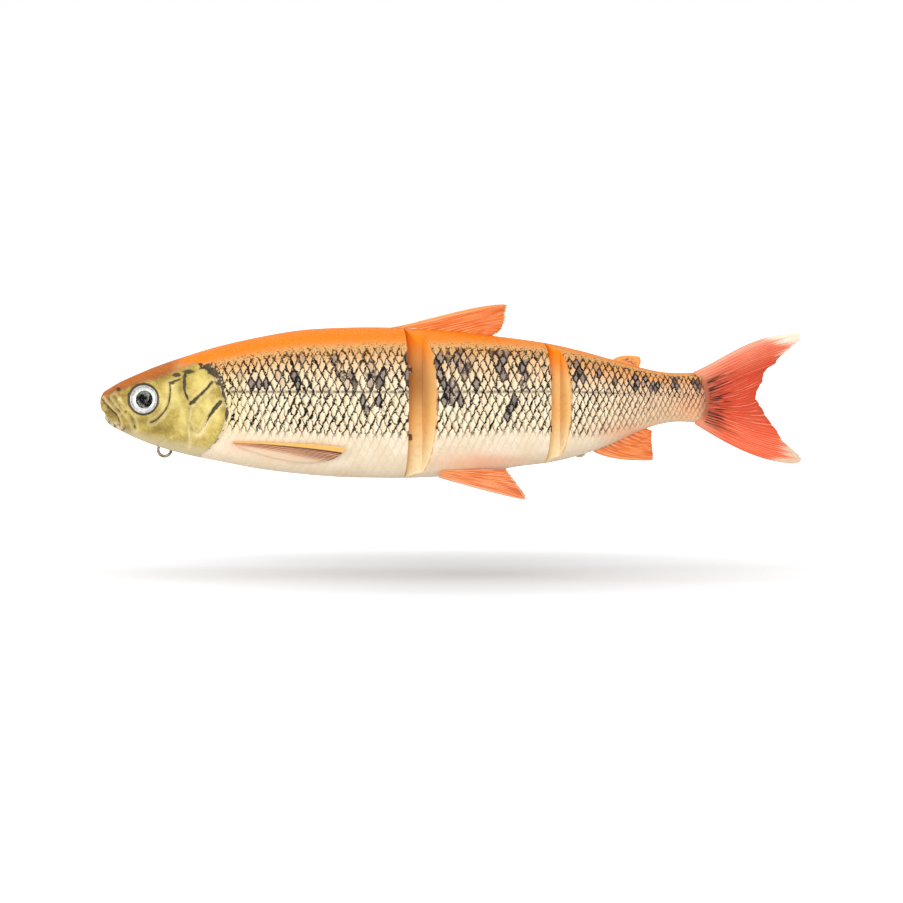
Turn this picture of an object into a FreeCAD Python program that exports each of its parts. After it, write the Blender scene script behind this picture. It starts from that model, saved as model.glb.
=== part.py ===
"""A three-section jointed swimbait: a hollow fish-shaped lure whose three body sections swing on two
upright pins, with soft fins, a soft forked tail, glass-look eyes, a wire line tie under the throat and
a recessed wire hook hanger in the rear belly.

Frame, in millimetres: +X runs from the nose to the tail, +Z is up, and Y is across the body with the
fish's left flank at -Y. The origin is the middle of the whole lure's bounding box, on its centre plane.
Each body section is two glued half shells that meet on the plane Y = 0.
"""

import FreeCAD
import Part
import math
import os

V = FreeCAD.Vector

# ------------------------------------------------------------------ overall sizes
FRONT_SECTION = 113.7  # nose to the front hinge
MIDDLE_SECTION = 49.2  # front hinge to rear hinge
REAR_SECTION = 53.6  # rear hinge to the end of the hard body
BODY_DEPTH = 53.7  # deepest point, back to belly
BODY_WIDTH = 28.0  # widest point, flank to flank
TAIL_LENGTH = 33.5  # tail fin behind the hard body
WALL = 1.8  # shell wall
FULLNESS = 2.2  # superellipse power of the cross-section: 2 is an ellipse
WIDEST = 0.52  # height of the widest line, as a share of the local depth
BODY_LENGTH = FRONT_SECTION + MIDDLE_SECTION + REAR_SECTION

# Side and plan outline of the body. Each row is the place along BODY_LENGTH, then the back and the
# belly as shares of BODY_DEPTH from the axis, then the half width as a share of BODY_WIDTH.
OUTLINE = [
    (0.000, 0.037, -0.048, 0.079),
    (0.005, 0.063, -0.102, 0.114),
    (0.015, 0.089, -0.152, 0.157),
    (0.031, 0.128, -0.190, 0.211),
    (0.064, 0.188, -0.253, 0.286),
    (0.097, 0.242, -0.302, 0.343),
    (0.146, 0.309, -0.356, 0.400),
    (0.196, 0.369, -0.397, 0.439),
    (0.261, 0.428, -0.447, 0.471),
    (0.327, 0.473, -0.480, 0.493),
    (0.393, 0.490, -0.501, 0.500),
    (0.459, 0.493, -0.507, 0.500),
    (0.508, 0.486, -0.507, 0.493),
    (0.577, 0.467, -0.493, 0.479),
    (0.640, 0.439, -0.462, 0.454),
    (0.689, 0.415, -0.430, 0.429),
    (0.739, 0.384, -0.404, 0.400),
    (0.788, 0.339, -0.359, 0.361),
    (0.837, 0.285, -0.287, 0.311),
    (0.886, 0.229, -0.197, 0.250),
    (0.920, 0.199, -0.151, 0.207),
    (0.952, 0.190, -0.134, 0.171),
    (1.000, 0.197, -0.150, 0.140),
]

# ------------------------------------------------------------------ clearances
RUN_GAP = 0.30  # between faces that sweep past each other
PIN_GAP = 0.05  # radial play of a hinge eye on its pin
SEAT_GAP = 0.05  # round a piece that is glued or clamped in its pocket
FLOAT_GAP = 0.30  # under a fin blade that stands clear of the body's skin

# ------------------------------------------------------------------ body joints
NOSE_X = -(BODY_LENGTH + TAIL_LENGTH) / 2.0
SWING = 30.0  # degrees that each body joint turns to either side


class BodyJoint:
    """One upright hinge: a rounded nose on the rear section turns in a shallow V in the front one."""

    def __init__(self, x, nose_r, neck, shoulder_angle, recess_angle, spread):
        self.x = x  # hinge axis
        self.nose_r = nose_r  # radius of the rounded nose about the axis
        self.neck = neck  # straight stretch behind the nose's half circle
        self.shoulder = math.radians(shoulder_angle)  # shoulder facet, from the body's length
        self.recess = math.radians(recess_angle)  # V facet of the section in front
        self.spread = spread  # hinge plates above and below the joint's mid height


FRONT_JOINT = BodyJoint(
    x=NOSE_X + FRONT_SECTION, nose_r=5.8, neck=0.9, shoulder_angle=57.0, recess_angle=80.0, spread=12.0
)
REAR_JOINT = BodyJoint(
    x=FRONT_JOINT.x + MIDDLE_SECTION, nose_r=5.0, neck=0.6, shoulder_angle=55.0, recess_angle=75.0, spread=9.0
)

PIN_R = 1.0
PIN_OVER_PLATE = 4.0  # pin past the outer face of each hinge plate
PLATE_T = 1.6
PLATE_EYE_R = 2.6
PLATE_NECK = 1.8  # half width of the plate's neck
PLATE_HEAD = 5.0  # half width of the T head clamped in the bulkhead
PLATE_HEAD_LENGTH = 3.0
PLATE_SET_BACK = 4.0  # bulkhead between the V's apex and the T head
SLOT_GAP = 0.25  # above and below a plate in its slot
BULKHEAD = 9.5  # solid plastic ahead of each V

# ------------------------------------------------------------------ tail joint
TAIL_AXIS_BACK = 7.0  # tail hinge axis ahead of the hard body's end
TAIL_SWING = 15.0
TAIL_BEAD_R = 1.7
TAIL_WEB = 0.7  # half thickness of the web between bead and fin
TAIL_WEB_COVER = 2.6  # plastic over and under the web's socket
TAIL_BASE_HALF = 3.0  # half thickness of the fin where it meets the body
TAIL_EDGE_HALF = 0.6  # half thickness at the lobes' ends

# ------------------------------------------------------------------ eyes
EYE_FROM_NOSE = 15.8
EYE_Z = 1.1
EYE_R = 5.3
EYE_DEPTH = 1.9  # pocket below the skin
IRIS_T = 0.6
PUPIL_R = 3.1
PUPIL_T = 0.25
LENS_RISE = 2.1  # dome above the iris

# ------------------------------------------------------------------ wire eyes
WIRE_R = 0.55
LOOP_R = 2.30  # centreline radius of each loop of a figure-8 wire eye
LOOP_PITCH = 2 * LOOP_R + 0.15  # between the two loops' centres; their wires run together
TIE_FROM_NOSE = 22.8
TIE_DROP = 0.4  # the outer loop's centre below the throat
HANGER_BEHIND_HINGE = 7.7
HANGER_SHOWS = 0.7  # how far the hanger's wire stands below the belly
HANGER_SLOT_HALF = 1.9  # half width of the belly slot round the hanger
HANGER_SLOT_ROOM = 1.35  # from the hanger's wire to each end of the slot
POST_WALL = 1.4  # plastic round a wire eye's inner loop

# ------------------------------------------------------------------ ballast
FRONT_SLUG = {"x": FRONT_JOINT.x - 63.7, "length": 26.0, "r": 4.5, "lift": 1.0}
MIDDLE_SLUG = {"x": FRONT_JOINT.x + 13.8, "length": 16.0, "r": 3.5, "lift": 8.5}

# ------------------------------------------------------------------ fins
FIN_HALF = 0.8  # half thickness of a fin blade
TANG_HALF = 0.7  # half thickness of a fin's root tang
TANG_DEPTH = 5.0
BOSS_OVER_TANG = 1.6  # plastic round a tang inside the shell
PELVIC_SPLAY = 24.0
PELVIC_ROOT_Y = 5.6
PECTORAL_T = 0.9
PECTORAL_PEG_R = 1.2

# Alignment pegs between the half shells: place and height, for each section.
PEG_R = 1.2
PEG_LENGTH = 1.8
PEG_BOSS_R = 2.8
FRONT_PEGS = [(NOSE_X + 33.0, 9.0), (NOSE_X + 70.0, 15.0), (FRONT_JOINT.x - 21.7, -12.0)]
MIDDLE_PEGS = [(FRONT_JOINT.x + 27.8, 12.0), (FRONT_JOINT.x + 32.8, -3.0)]
REAR_PEGS = [(REAR_JOINT.x + 13.1, 8.5), (REAR_JOINT.x + 29.1, 3.0)]

FAR = 60.0  # longer than any cutter has to reach
BODY_END = NOSE_X + BODY_LENGTH
TAIL_AXIS = BODY_END - TAIL_AXIS_BACK


# ------------------------------------------------------------------ body surface
def smooth(column, share):
    """The outline's column at a share of the length, on a cubic through the rows."""
    rows = OUTLINE
    k = 0
    while k < len(rows) - 2 and share > rows[k + 1][0]:
        k += 1

    def slope(i):
        a, b = max(i - 1, 0), min(i + 1, len(rows) - 1)
        return (rows[b][column] - rows[a][column]) / (rows[b][0] - rows[a][0])

    x0, x1 = rows[k][0], rows[k + 1][0]
    h = x1 - x0
    t = (share - x0) / h
    p0, p1 = rows[k][column], rows[k + 1][column]
    m0, m1 = slope(k) * h, slope(k + 1) * h
    return (
        (2 * t**3 - 3 * t**2 + 1) * p0
        + (t**3 - 2 * t**2 + t) * m0
        + (3 * t**2 - 2 * t**3) * p1
        + (t**3 - t**2) * m1
    )


def outline(x, inset=0.0):
    """Back height, belly height and half width at x, taken in by inset."""
    share = (x - NOSE_X) / BODY_LENGTH
    return (
        smooth(1, share) * BODY_DEPTH - inset,
        smooth(2, share) * BODY_DEPTH + inset,
        smooth(3, share) * BODY_WIDTH - inset,
    )


def flank(x, z):
    """Half width of the body at x and height z."""
    back, belly, half = outline(x)
    wide = belly + WIDEST * (back - belly)
    reach = back - wide if z > wide else wide - belly
    ratio = min(abs(z - wide) / reach, 1.0)
    return half * (1 - ratio**FULLNESS) ** (1 / FULLNESS)


def cross_section(x, inset, points=14):
    """The body's whole cross-section at x as a closed wire: its left half and its right half."""
    back, belly, half = outline(x, inset)
    wide = belly + WIDEST * (back - belly)
    halves = []
    for side in (-1, 1):
        curve_points = [V(x, 0, belly)]
        for i in range(1, points):
            t = math.radians(-90.0 + 180.0 * i / points)
            across = math.cos(t) ** (2 / FULLNESS)
            up = abs(math.sin(t)) ** (2 / FULLNESS)
            z = wide + (back - wide) * up if t > 0 else wide - (wide - belly) * up
            curve_points.append(V(x, side * half * across, z))
        curve_points.append(V(x, 0, back))
        curve = Part.BSplineCurve()
        curve.interpolate(Points=curve_points, Parameters=[i / points for i in range(points + 1)])
        halves.append(curve.toShape())
    return Part.Wire(halves)


def half_body(x0, x1, inset=0.0):
    """Left half of the body between two places along X, taken in by inset on the skin."""
    places = [x0, x1]
    for a, b in zip(OUTLINE, OUTLINE[1:]):
        for share in (a[0], (a[0] + b[0]) / 2):
            x = NOSE_X + share * BODY_LENGTH
            if x0 + 1.0 < x < x1 - 1.0 and (b[0] - a[0] > 0.02 or share == a[0]):
                places.append(x)
    whole = Part.makeLoft([cross_section(x, inset) for x in sorted(places)], True, False)
    return whole.common(box(x0 - 1.0, x1 + 1.0, -FAR, 0, -FAR, FAR)).Solids[0]


# ------------------------------------------------------------------ small helpers
def box(x0, x1, y0, y1, z0, z1):
    return Part.makeBox(x1 - x0, y1 - y0, z1 - z0, V(x0, y0, z0))


def upright_prism(edges, z0, z1):
    """A plan outline, drawn as edges at height 0, between two heights."""
    face = Part.Face(Part.Wire(edges))
    face.translate(V(0, 0, z0))
    return face.extrude(V(0, 0, z1 - z0))


def side_face(points, y=0.0):
    """A face in the plane Y = y from (x, z) corners."""
    corners = [V(x, y, z) for x, z in points]
    return Part.Face(Part.makePolygon(corners + corners[:1]))


def plate_between(points, y0, y1):
    return side_face(points, y0).extrude(V(0, y1 - y0, 0))


def mirrored(shape):
    return shape.mirror(V(0, 0, 0), V(0, 1, 0))


def save(name, shape):
    solids = shape.Solids
    result = solids[0] if len(solids) == 1 else Part.makeCompound(solids)
    result.exportStep("parts/" + name + ".step")
    print(f"{name:28s} solids {len(solids)} volume {result.Volume:9.1f} valid {result.isValid()}")


# ------------------------------------------------------------------ joint cutters
def nose_prism(joint):
    """Keeps what lies behind a joint's rounded nose and shoulder facets."""
    x, r = joint.x, joint.nose_r
    out = FAR - r
    shoulder_x = x + joint.neck + out / math.tan(joint.shoulder)
    left = [V(x, -r, 0), V(x + joint.neck, -r, 0), V(shoulder_x, -FAR, 0), V(x + 4 * FAR, -FAR, 0)]
    right = [V(p.x, -p.y, 0) for p in reversed(left)]
    corners = left + right
    edges = [Part.makeLine(a, b) for a, b in zip(corners, corners[1:])]
    edges.append(Part.Arc(V(x, r, 0), V(x - r, 0, 0), V(x, -r, 0)).toShape())
    return upright_prism(edges, -FAR, FAR)


def recess_prism(joint):
    """Removes what lies behind a joint's shallow V and its rounded apex."""
    x, r = joint.x, joint.nose_r + RUN_GAP
    a = math.pi / 2 + joint.recess
    touch = V(x + r * math.cos(a), r * math.sin(a), 0)
    rim = V(touch.x + (FAR - touch.y) / math.tan(joint.recess), FAR, 0)
    far_right = V(x + 4 * FAR, FAR, 0)
    corners = [touch, rim, far_right, V(far_right.x, -FAR, 0), V(rim.x, -FAR, 0), V(touch.x, -touch.y, 0)]
    edges = [Part.makeLine(p, q) for p, q in zip(corners, corners[1:])]
    edges.append(Part.Arc(corners[-1], V(x - r, 0, 0), corners[0]).toShape())
    return upright_prism(edges, -FAR, FAR)


def mid_height(x):
    back, belly, _ = outline(x)
    return (back + belly) / 2


def plate_heights(joint):
    middle = mid_height(joint.x)
    return [middle + joint.spread, middle - joint.spread]


def plate_shape(joint, z, grow=0.0):
    """A hinge plate at height z, or its pocket when grown."""
    apex = joint.x - joint.nose_r - RUN_GAP
    head_end = apex - PLATE_SET_BACK
    z0, z1 = z - PLATE_T / 2 - grow, z + PLATE_T / 2 + grow
    head = box(
        head_end - PLATE_HEAD_LENGTH - grow, head_end + grow, -PLATE_HEAD - grow, PLATE_HEAD + grow, z0, z1
    )
    neck = box(head_end - 0.5, joint.x, -PLATE_NECK - grow, PLATE_NECK + grow, z0, z1)
    eye = Part.makeCylinder(PLATE_EYE_R + grow, z1 - z0, V(joint.x, 0, z0))
    return head.fuse([neck, eye]).removeSplitter()


def hinge_plate(joint, z):
    hole = Part.makeCylinder(PIN_R + PIN_GAP, 4 * PLATE_T, V(joint.x, 0, z - 2 * PLATE_T))
    return plate_shape(joint, z).cut(hole)


def plate_slot(joint, z):
    """The fan-shaped slot in a nose that lets a hinge plate swing."""
    reach = joint.nose_r + 4.0
    turn = math.radians(180.0 - SWING - 3.0)
    along = V(math.cos(turn), math.sin(turn), 0)
    side = V(math.sin(turn), -math.cos(turn), 0) * (PLATE_NECK + RUN_GAP)
    root = V(joint.x, 0, 0) + side
    tip = root + along * reach
    corners = [root, tip, V(tip.x, -tip.y, 0), V(root.x, -root.y, 0)]
    edges = [Part.makeLine(p, q) for p, q in zip(corners, corners[1:] + corners[:1])]
    half = PLATE_T / 2 + SLOT_GAP
    fan = upright_prism(edges, z - half, z + half)
    round_end = Part.makeCylinder(PLATE_EYE_R + RUN_GAP, 2 * half, V(joint.x, 0, z - half))
    return fan.fuse(round_end)


def pin_span(joint):
    high, low = plate_heights(joint)
    over = PLATE_T / 2 + PIN_OVER_PLATE
    return low - over, high + over


def hinge_pin(joint, grow=0.0, end=0.0):
    low, high = pin_span(joint)
    return Part.makeCylinder(PIN_R + grow, high - low + 2 * end, V(joint.x, 0, low - end))


# ------------------------------------------------------------------ wire eyes
def figure_eight(x, z_outer, thicker=0.0):
    """Two wire loops in the centre plane: the outer one at z_outer and the anchored one above it."""
    loops = []
    for z in (z_outer, z_outer + LOOP_PITCH):
        loops.append(Part.makeTorus(LOOP_R, WIRE_R + thicker, V(x, 0, z), V(0, 1, 0)))
    return loops[0].fuse(loops[1])


def tie_place():
    x = NOSE_X + TIE_FROM_NOSE
    return x, outline(x)[1] - TIE_DROP


def hanger_place():
    x = REAR_JOINT.x + HANGER_BEHIND_HINGE
    return x, outline(x)[1] - HANGER_SHOWS + LOOP_R + WIRE_R


# ------------------------------------------------------------------ eyes
def eye_axis():
    """Place of the left eye's centre on the skin and the outward direction there."""
    x, z = NOSE_X + EYE_FROM_NOSE, EYE_Z
    step = 0.5
    along = (flank(x + step, z) - flank(x - step, z)) / (2 * step)
    up = (flank(x, z + step) - flank(x, z - step)) / (2 * step)
    outward = V(-along, -1.0, -up)
    outward.normalize()
    return V(x, -flank(x, z), z), outward


def eye_cylinder(r, from_skin, height):
    centre, outward = eye_axis()
    return Part.makeCylinder(r, height, centre + outward * from_skin, outward)


def eye_parts():
    """Iris disc, pupil and domed lens of the left eye, from the pocket's floor outwards."""
    centre, outward = eye_axis()
    floor = -EYE_DEPTH
    iris = eye_cylinder(EYE_R, floor, IRIS_T)
    pupil = eye_cylinder(PUPIL_R, floor + IRIS_T, PUPIL_T)
    dome_r = (EYE_R**2 + LENS_RISE**2) / (2 * LENS_RISE)
    seat = floor + IRIS_T
    ball = Part.makeSphere(dome_r, centre + outward * (seat + LENS_RISE - dome_r))
    lens = ball.common(eye_cylinder(EYE_R, seat, LENS_RISE + 1.0)).cut(pupil)
    return iris, pupil, lens


# ------------------------------------------------------------------ ballast
def slug(spec, grow=0.0):
    """A round ballast slug lying along the belly."""
    start = V(spec["x"] - grow, 0, slug_z(spec))
    return Part.makeCylinder(spec["r"] + grow, spec["length"] + 2 * grow, start, V(1, 0, 0))


def slug_z(spec):
    x = spec["x"]
    ends = [outline(x)[1], outline(x + spec["length"])[1]]
    return max(ends) + WALL + spec["lift"] + spec["r"]


def slug_cradle(spec):
    x = spec["x"]
    return box(x - 1.5, x + spec["length"] + 1.5, -BODY_WIDTH, BODY_WIDTH, -FAR, slug_z(spec))


# ------------------------------------------------------------------ fins
def along_skin(places, side, offset):
    """(x, z) points on the back or the belly at these places, moved along Z by offset."""
    column = 0 if side == "back" else 1
    return [(x, outline(x)[column] + offset) for x in places]


def spaced(x0, x1, count):
    return [x0 + (x1 - x0) * i / (count - 1) for i in range(count)]


def tang_points(x0, x1, side):
    """Outline of a fin's root tang, which reaches into the shell from just under the blade."""
    inward = -1.0 if side == "back" else 1.0
    outer = along_skin(spaced(x0, x1, 6), side, -inward * (FLOAT_GAP + 0.6))
    inner = along_skin(spaced(x1, x0, 6), side, inward * TANG_DEPTH)
    return outer + inner


def tang_pocket(x0, x1, side):
    """What a tang takes out of the shells, with its clearance."""
    inward = -1.0 if side == "back" else 1.0
    g = SEAT_GAP
    outer = along_skin(spaced(x0 - g, x1 + g, 6), side, -inward * 3.0)
    inner = along_skin(spaced(x1 + g, x0 - g, 6), side, inward * (TANG_DEPTH + g))
    return plate_between(outer + inner, -TANG_HALF - g, TANG_HALF + g)


def tang_boss(x0, x1, side):
    """Plastic left round a tang inside the shell."""
    inward = -1.0 if side == "back" else 1.0
    g = BOSS_OVER_TANG
    outer = along_skin(spaced(x0 - g, x1 + g, 6), side, -inward * 3.0)
    inner = along_skin(spaced(x1 + g, x0 - g, 6), side, inward * (TANG_DEPTH + g))
    return plate_between(outer + inner, -TANG_HALF - g, TANG_HALF + g)


def off_skin(x0, rows, side):
    """(x, z) corners from each corner's distance behind x0 and its height off the back or the belly."""
    sign = 1.0 if side == "back" else -1.0
    return [along_skin([x0 + behind], side, sign * height)[0] for behind, height in rows]


def centre_fin(x0, rows, tang, side):
    """A fin in the centre plane: its blade stands FLOAT_GAP clear of the skin on a root tang."""
    points = off_skin(x0, rows, side)
    xs = [p[0] for p in points]
    blade = plate_between(points, -FIN_HALF, FIN_HALF)
    skin = half_body(min(xs) - 4.0, max(xs) + 4.0, -FLOAT_GAP)
    blade = blade.cut(skin).cut(mirrored(skin))
    root = plate_between(tang_points(*tang, side), -TANG_HALF, TANG_HALF)
    return blade.fuse(root)


# Each fin: its root tang's two ends, then its corners as the distance behind a hinge and the height
# off the skin, from the front of the root round the tip. The last corners lie inside the skin line.
DORSAL_TANG = (FRONT_JOINT.x + 9.0, FRONT_JOINT.x + 22.5)
DORSAL = [(-10.4, -0.8), (7.0, 5.3), (19.5, 10.1), (28.4, 11.7), (31.1, 11.4), (29.6, 8.0), (29.4, 4.1)]
DORSAL += [(25.5, -1.5), (8.0, -3.3), (-10.4, -2.4)]
ADIPOSE_TANG = (REAR_JOINT.x + 21.0, REAR_JOINT.x + 26.5)
ADIPOSE = [(19.4, -0.8), (21.5, 1.5), (24.5, 3.1), (27.8, 3.9), (29.4, 3.0), (29.3, 1.1), (28.3, -2.0)]
ADIPOSE += [(20.0, -2.8)]
ANAL_TANG = (REAR_JOINT.x + 15.5, REAR_JOINT.x + 27.0)
ANAL = [(11.9, -0.7), (16.2, 3.0), (24.1, 7.8), (33.6, 12.0), (33.2, 6.5), (33.0, 1.6), (29.5, -0.9)]
ANAL += [(20.0, -4.2), (12.5, -3.7)]
PELVIC_X = FRONT_JOINT.x + 6.4
PELVIC_TANG = (PELVIC_X + 5.0, PELVIC_X + 19.0)
PELVIC = [(0.0, -0.6), (3.0, -2.6), (14.0, -7.4), (29.0, -11.9), (31.4, -12.05), (30.9, -10.85)]
PELVIC += [(24.6, -0.2)]


def under_skin(x, y):
    """Height of the belly's skin at x, a distance y off the centre plane."""
    back, belly, half = outline(x)
    wide = belly + WIDEST * (back - belly)
    return wide - (wide - belly) * (1 - (y / half) ** FULLNESS) ** (1 / FULLNESS)


PELVIC_ROOT_Z = under_skin(PELVIC_X + 12.0, PELVIC_ROOT_Y) + 0.2


def lean(shape):
    """Turns an upright left fin about its root line so that it splays outwards."""
    root = V(0, -PELVIC_ROOT_Y, PELVIC_ROOT_Z)
    shape.translate(V(0, -PELVIC_ROOT_Y, 0))
    shape.rotate(root, V(1, 0, 0), -PELVIC_SPLAY)
    return shape


def pelvic_tang(grow, top):
    """The left pelvic fin's tang, leant; grown and lengthened it is the pocket."""
    x0, x1 = PELVIC_TANG
    low = PELVIC_ROOT_Z - 2.2
    half = TANG_HALF + grow
    return lean(box(x0 - grow, x1 + grow, -half, half, low, PELVIC_ROOT_Z + top))


def pelvic_fin():
    """The left pelvic fin: a splayed blade under the belly with a tang up into the shell."""
    points = [(PELVIC_X + behind, PELVIC_ROOT_Z + height) for behind, height in PELVIC]
    blade = lean(plate_between(points, -FIN_HALF, FIN_HALF))
    skin = half_body(PELVIC_X - 4.0, PELVIC_X + 36.0, -FLOAT_GAP)
    return blade.cut(skin).fuse(pelvic_tang(0.0, TANG_DEPTH - 1.5))


PECTORAL_X = NOSE_X + 50.5
PECTORAL_ROOT = (PECTORAL_X, outline(PECTORAL_X)[1] + 7.6)


def pectoral_fin():
    """The left pectoral fin: a thin blade curved to lie just off the lower flank, with a root peg."""
    x, z = PECTORAL_ROOT
    points = [(x - 2.6, z + 1.1), (x + 12.0, z + 1.2), (x + 27.0, z - 0.2), (x + 37.3, z - 2.2)]
    points += [(x + 34.5, z - 4.2), (x + 28.0, z - 5.8), (x + 18.0, z - 5.6), (x + 6.0, z - 3.0)]
    points += [(x - 2.4, z - 0.8)]
    outside = half_body(x - 8.0, x + 44.0, -FLOAT_GAP - PECTORAL_T)
    inside = half_body(x - 9.0, x + 45.0, -FLOAT_GAP)
    blade = outside.cut(inside).common(plate_between(points, -FAR, -0.5))
    return blade.fuse(pectoral_peg(0.0))


def pectoral_peg(grow):
    """The left pectoral fin's root peg through the shell wall, or its hole when grown."""
    x, z = PECTORAL_ROOT
    y = flank(x, z)
    return Part.makeCylinder(
        PECTORAL_PEG_R + grow, 3.4 + grow, V(x, -y - FLOAT_GAP - 0.5 * PECTORAL_T, z), V(0, 1, 0)
    )


def tail_profile():
    """Side profile of the hard body's rounded rear end, turned about the tail's hinge axis."""
    back, belly, _ = outline(BODY_END)
    top = V(TAIL_AXIS_BACK - 2.1, 0, back - 1.0)
    middle = V(TAIL_AXIS_BACK, 0, 0.6)
    bottom = V(TAIL_AXIS_BACK - 2.9, 0, belly - 0.5)
    return top, middle, bottom


def rounded_end(grow):
    """All that lies ahead of the hard body's end, which is round in plan about the tail axis."""
    top, middle, bottom = tail_profile()
    top, middle, bottom = (p + V(grow, 0, 0) for p in (top, middle, bottom))
    high, low = V(top.x - 1.0, 0, FAR), V(bottom.x - 1.0, 0, -FAR)
    axis_high, axis_low = V(0, 0, FAR), V(0, 0, -FAR)
    edges = [
        Part.makeLine(axis_low, low),
        Part.makeLine(low, bottom),
        Part.Arc(bottom, middle, top).toShape(),
        Part.makeLine(top, high),
        Part.makeLine(high, axis_high),
        Part.makeLine(axis_high, axis_low),
    ]
    solid = Part.Face(Part.Wire(edges)).revolve(V(0, 0, 0), V(0, 0, 1), 360)
    solid.translate(V(TAIL_AXIS, 0, 0))
    return solid.fuse(box(TAIL_AXIS - 2 * FAR, TAIL_AXIS, -FAR, FAR, -FAR, FAR))


def tail_outline():
    """Side outline of the forked fin as one closed wire, from its upper root round to its lower root."""
    x = BODY_END
    back, belly, _ = outline(x)
    upper = [(-4.5, 0.0), (3.9, 4.9), (11.1, 8.8), (18.2, 11.7), (25.3, 13.4), (30.6, 13.8), (33.1, 12.6)]
    fork = [(31.5, 21.2), (25.3, 16.6), (21.4, 11.8), (17.8, 5.7), (16.1, 1.8), (18.9, -2.6)]
    fork += [(22.5, -7.5), (25.3, -10.7), (27.8, -15.5), (31.2, -17.7)]
    lower = [(TAIL_LENGTH, -12.8), (32.2, -13.9), (28.4, -14.0), (23.2, -13.5), (17.8, -11.2)]
    lower += [(10.8, -7.9), (3.8, -3.8), (-4.5, 0.7)]
    return (
        [(x + behind, back + height) for behind, height in upper]
        + [(x + behind, height) for behind, height in fork]
        + [(x + behind, belly + height) for behind, height in lower]
    )


def web_span():
    """Heights of the bottom and the top of the tail's web, inside the hard body's end."""
    back, belly, _ = outline(TAIL_AXIS)
    return belly + TAIL_WEB_COVER, back - TAIL_WEB_COVER


def tail():
    """Soft forked tail: a wedge-shaped fin, a thin web and an upright bead that turns in the shells."""
    x0, x1 = BODY_END - 6.0, BODY_END + TAIL_LENGTH + 1.0
    thick_end = BODY_END + 15.0
    plan = [V(x0, -TAIL_BASE_HALF, 0), V(BODY_END, -TAIL_BASE_HALF, 0), V(thick_end, -1.1, 0)]
    plan += [V(x1, -TAIL_EDGE_HALF, 0)]
    plan += [V(p.x, -p.y, 0) for p in reversed(plan)]
    edges = [Part.makeLine(a, b) for a, b in zip(plan, plan[1:] + plan[:1])]
    fin = upright_prism(edges, -FAR, FAR).common(plate_between(tail_outline(), -FAR, FAR))
    fin = fin.cut(rounded_end(RUN_GAP))
    low, high = web_span()
    web = box(TAIL_AXIS, BODY_END + 2.0, -TAIL_WEB, TAIL_WEB, low, high)
    bead = Part.makeCylinder(TAIL_BEAD_R, high - low, V(TAIL_AXIS, 0, low))
    return fin.fuse([web, bead]).removeSplitter()


def tail_socket():
    """The flared slot and round socket in the rear shells that hold the tail's web and bead."""
    g = RUN_GAP
    turn = math.radians(TAIL_SWING + 2.0)
    reach = TAIL_AXIS_BACK + 6.0
    half = TAIL_WEB + g
    near = V(TAIL_AXIS - half * math.sin(turn), -half * math.cos(turn), 0)
    far = near + V(math.cos(turn), -math.sin(turn), 0) * reach
    corners = [near, far, V(far.x, -far.y, 0), V(near.x, -near.y, 0)]
    edges = [Part.makeLine(a, b) for a, b in zip(corners, corners[1:] + corners[:1])]
    low, high = web_span()
    low, high = low - g, high + g
    fan = upright_prism(edges, low, high)
    return fan.fuse(Part.makeCylinder(TAIL_BEAD_R + SEAT_GAP, high - low, V(TAIL_AXIS, 0, low)))


# ------------------------------------------------------------------ shells
def peg_bosses(pegs):
    bosses = []
    for x, z in pegs:
        start = V(x, -BODY_WIDTH, z)
        bosses.append(Part.makeCylinder(PEG_BOSS_R, BODY_WIDTH, start, V(0, 1, 0)))
    return bosses


def with_pegs(shell, pegs):
    """The left shell with its alignment pegs, which stand past the centre plane."""
    for x, z in pegs:
        start = V(x, -1.0, z)
        shell = shell.fuse(Part.makeCylinder(PEG_R, 1.0 + PEG_LENGTH, start, V(0, 1, 0)))
    return shell


def with_peg_holes(shell, pegs):
    """The right shell with the blind holes for the other shell's pegs."""
    for x, z in pegs:
        start = V(x, 0, z)
        depth = PEG_LENGTH + 2 * SEAT_GAP
        shell = shell.cut(Part.makeCylinder(PEG_R + SEAT_GAP, depth, start, V(0, 1, 0)))
    return shell


def hollow(x0, x1, blocks):
    """The left half of a section's cavity, less the bosses and blocks that stand in it."""
    cavity = half_body(x0, x1, WALL)
    for block in blocks:
        cavity = cavity.cut(block)
    return cavity


def save_pair(name, left, pegs):
    """Both half shells of a section: the left one with pegs and its mirror image with holes."""
    save(name + "_shell_left", with_pegs(left, pegs))
    save(name + "_shell_right", with_peg_holes(mirrored(left), pegs))


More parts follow.
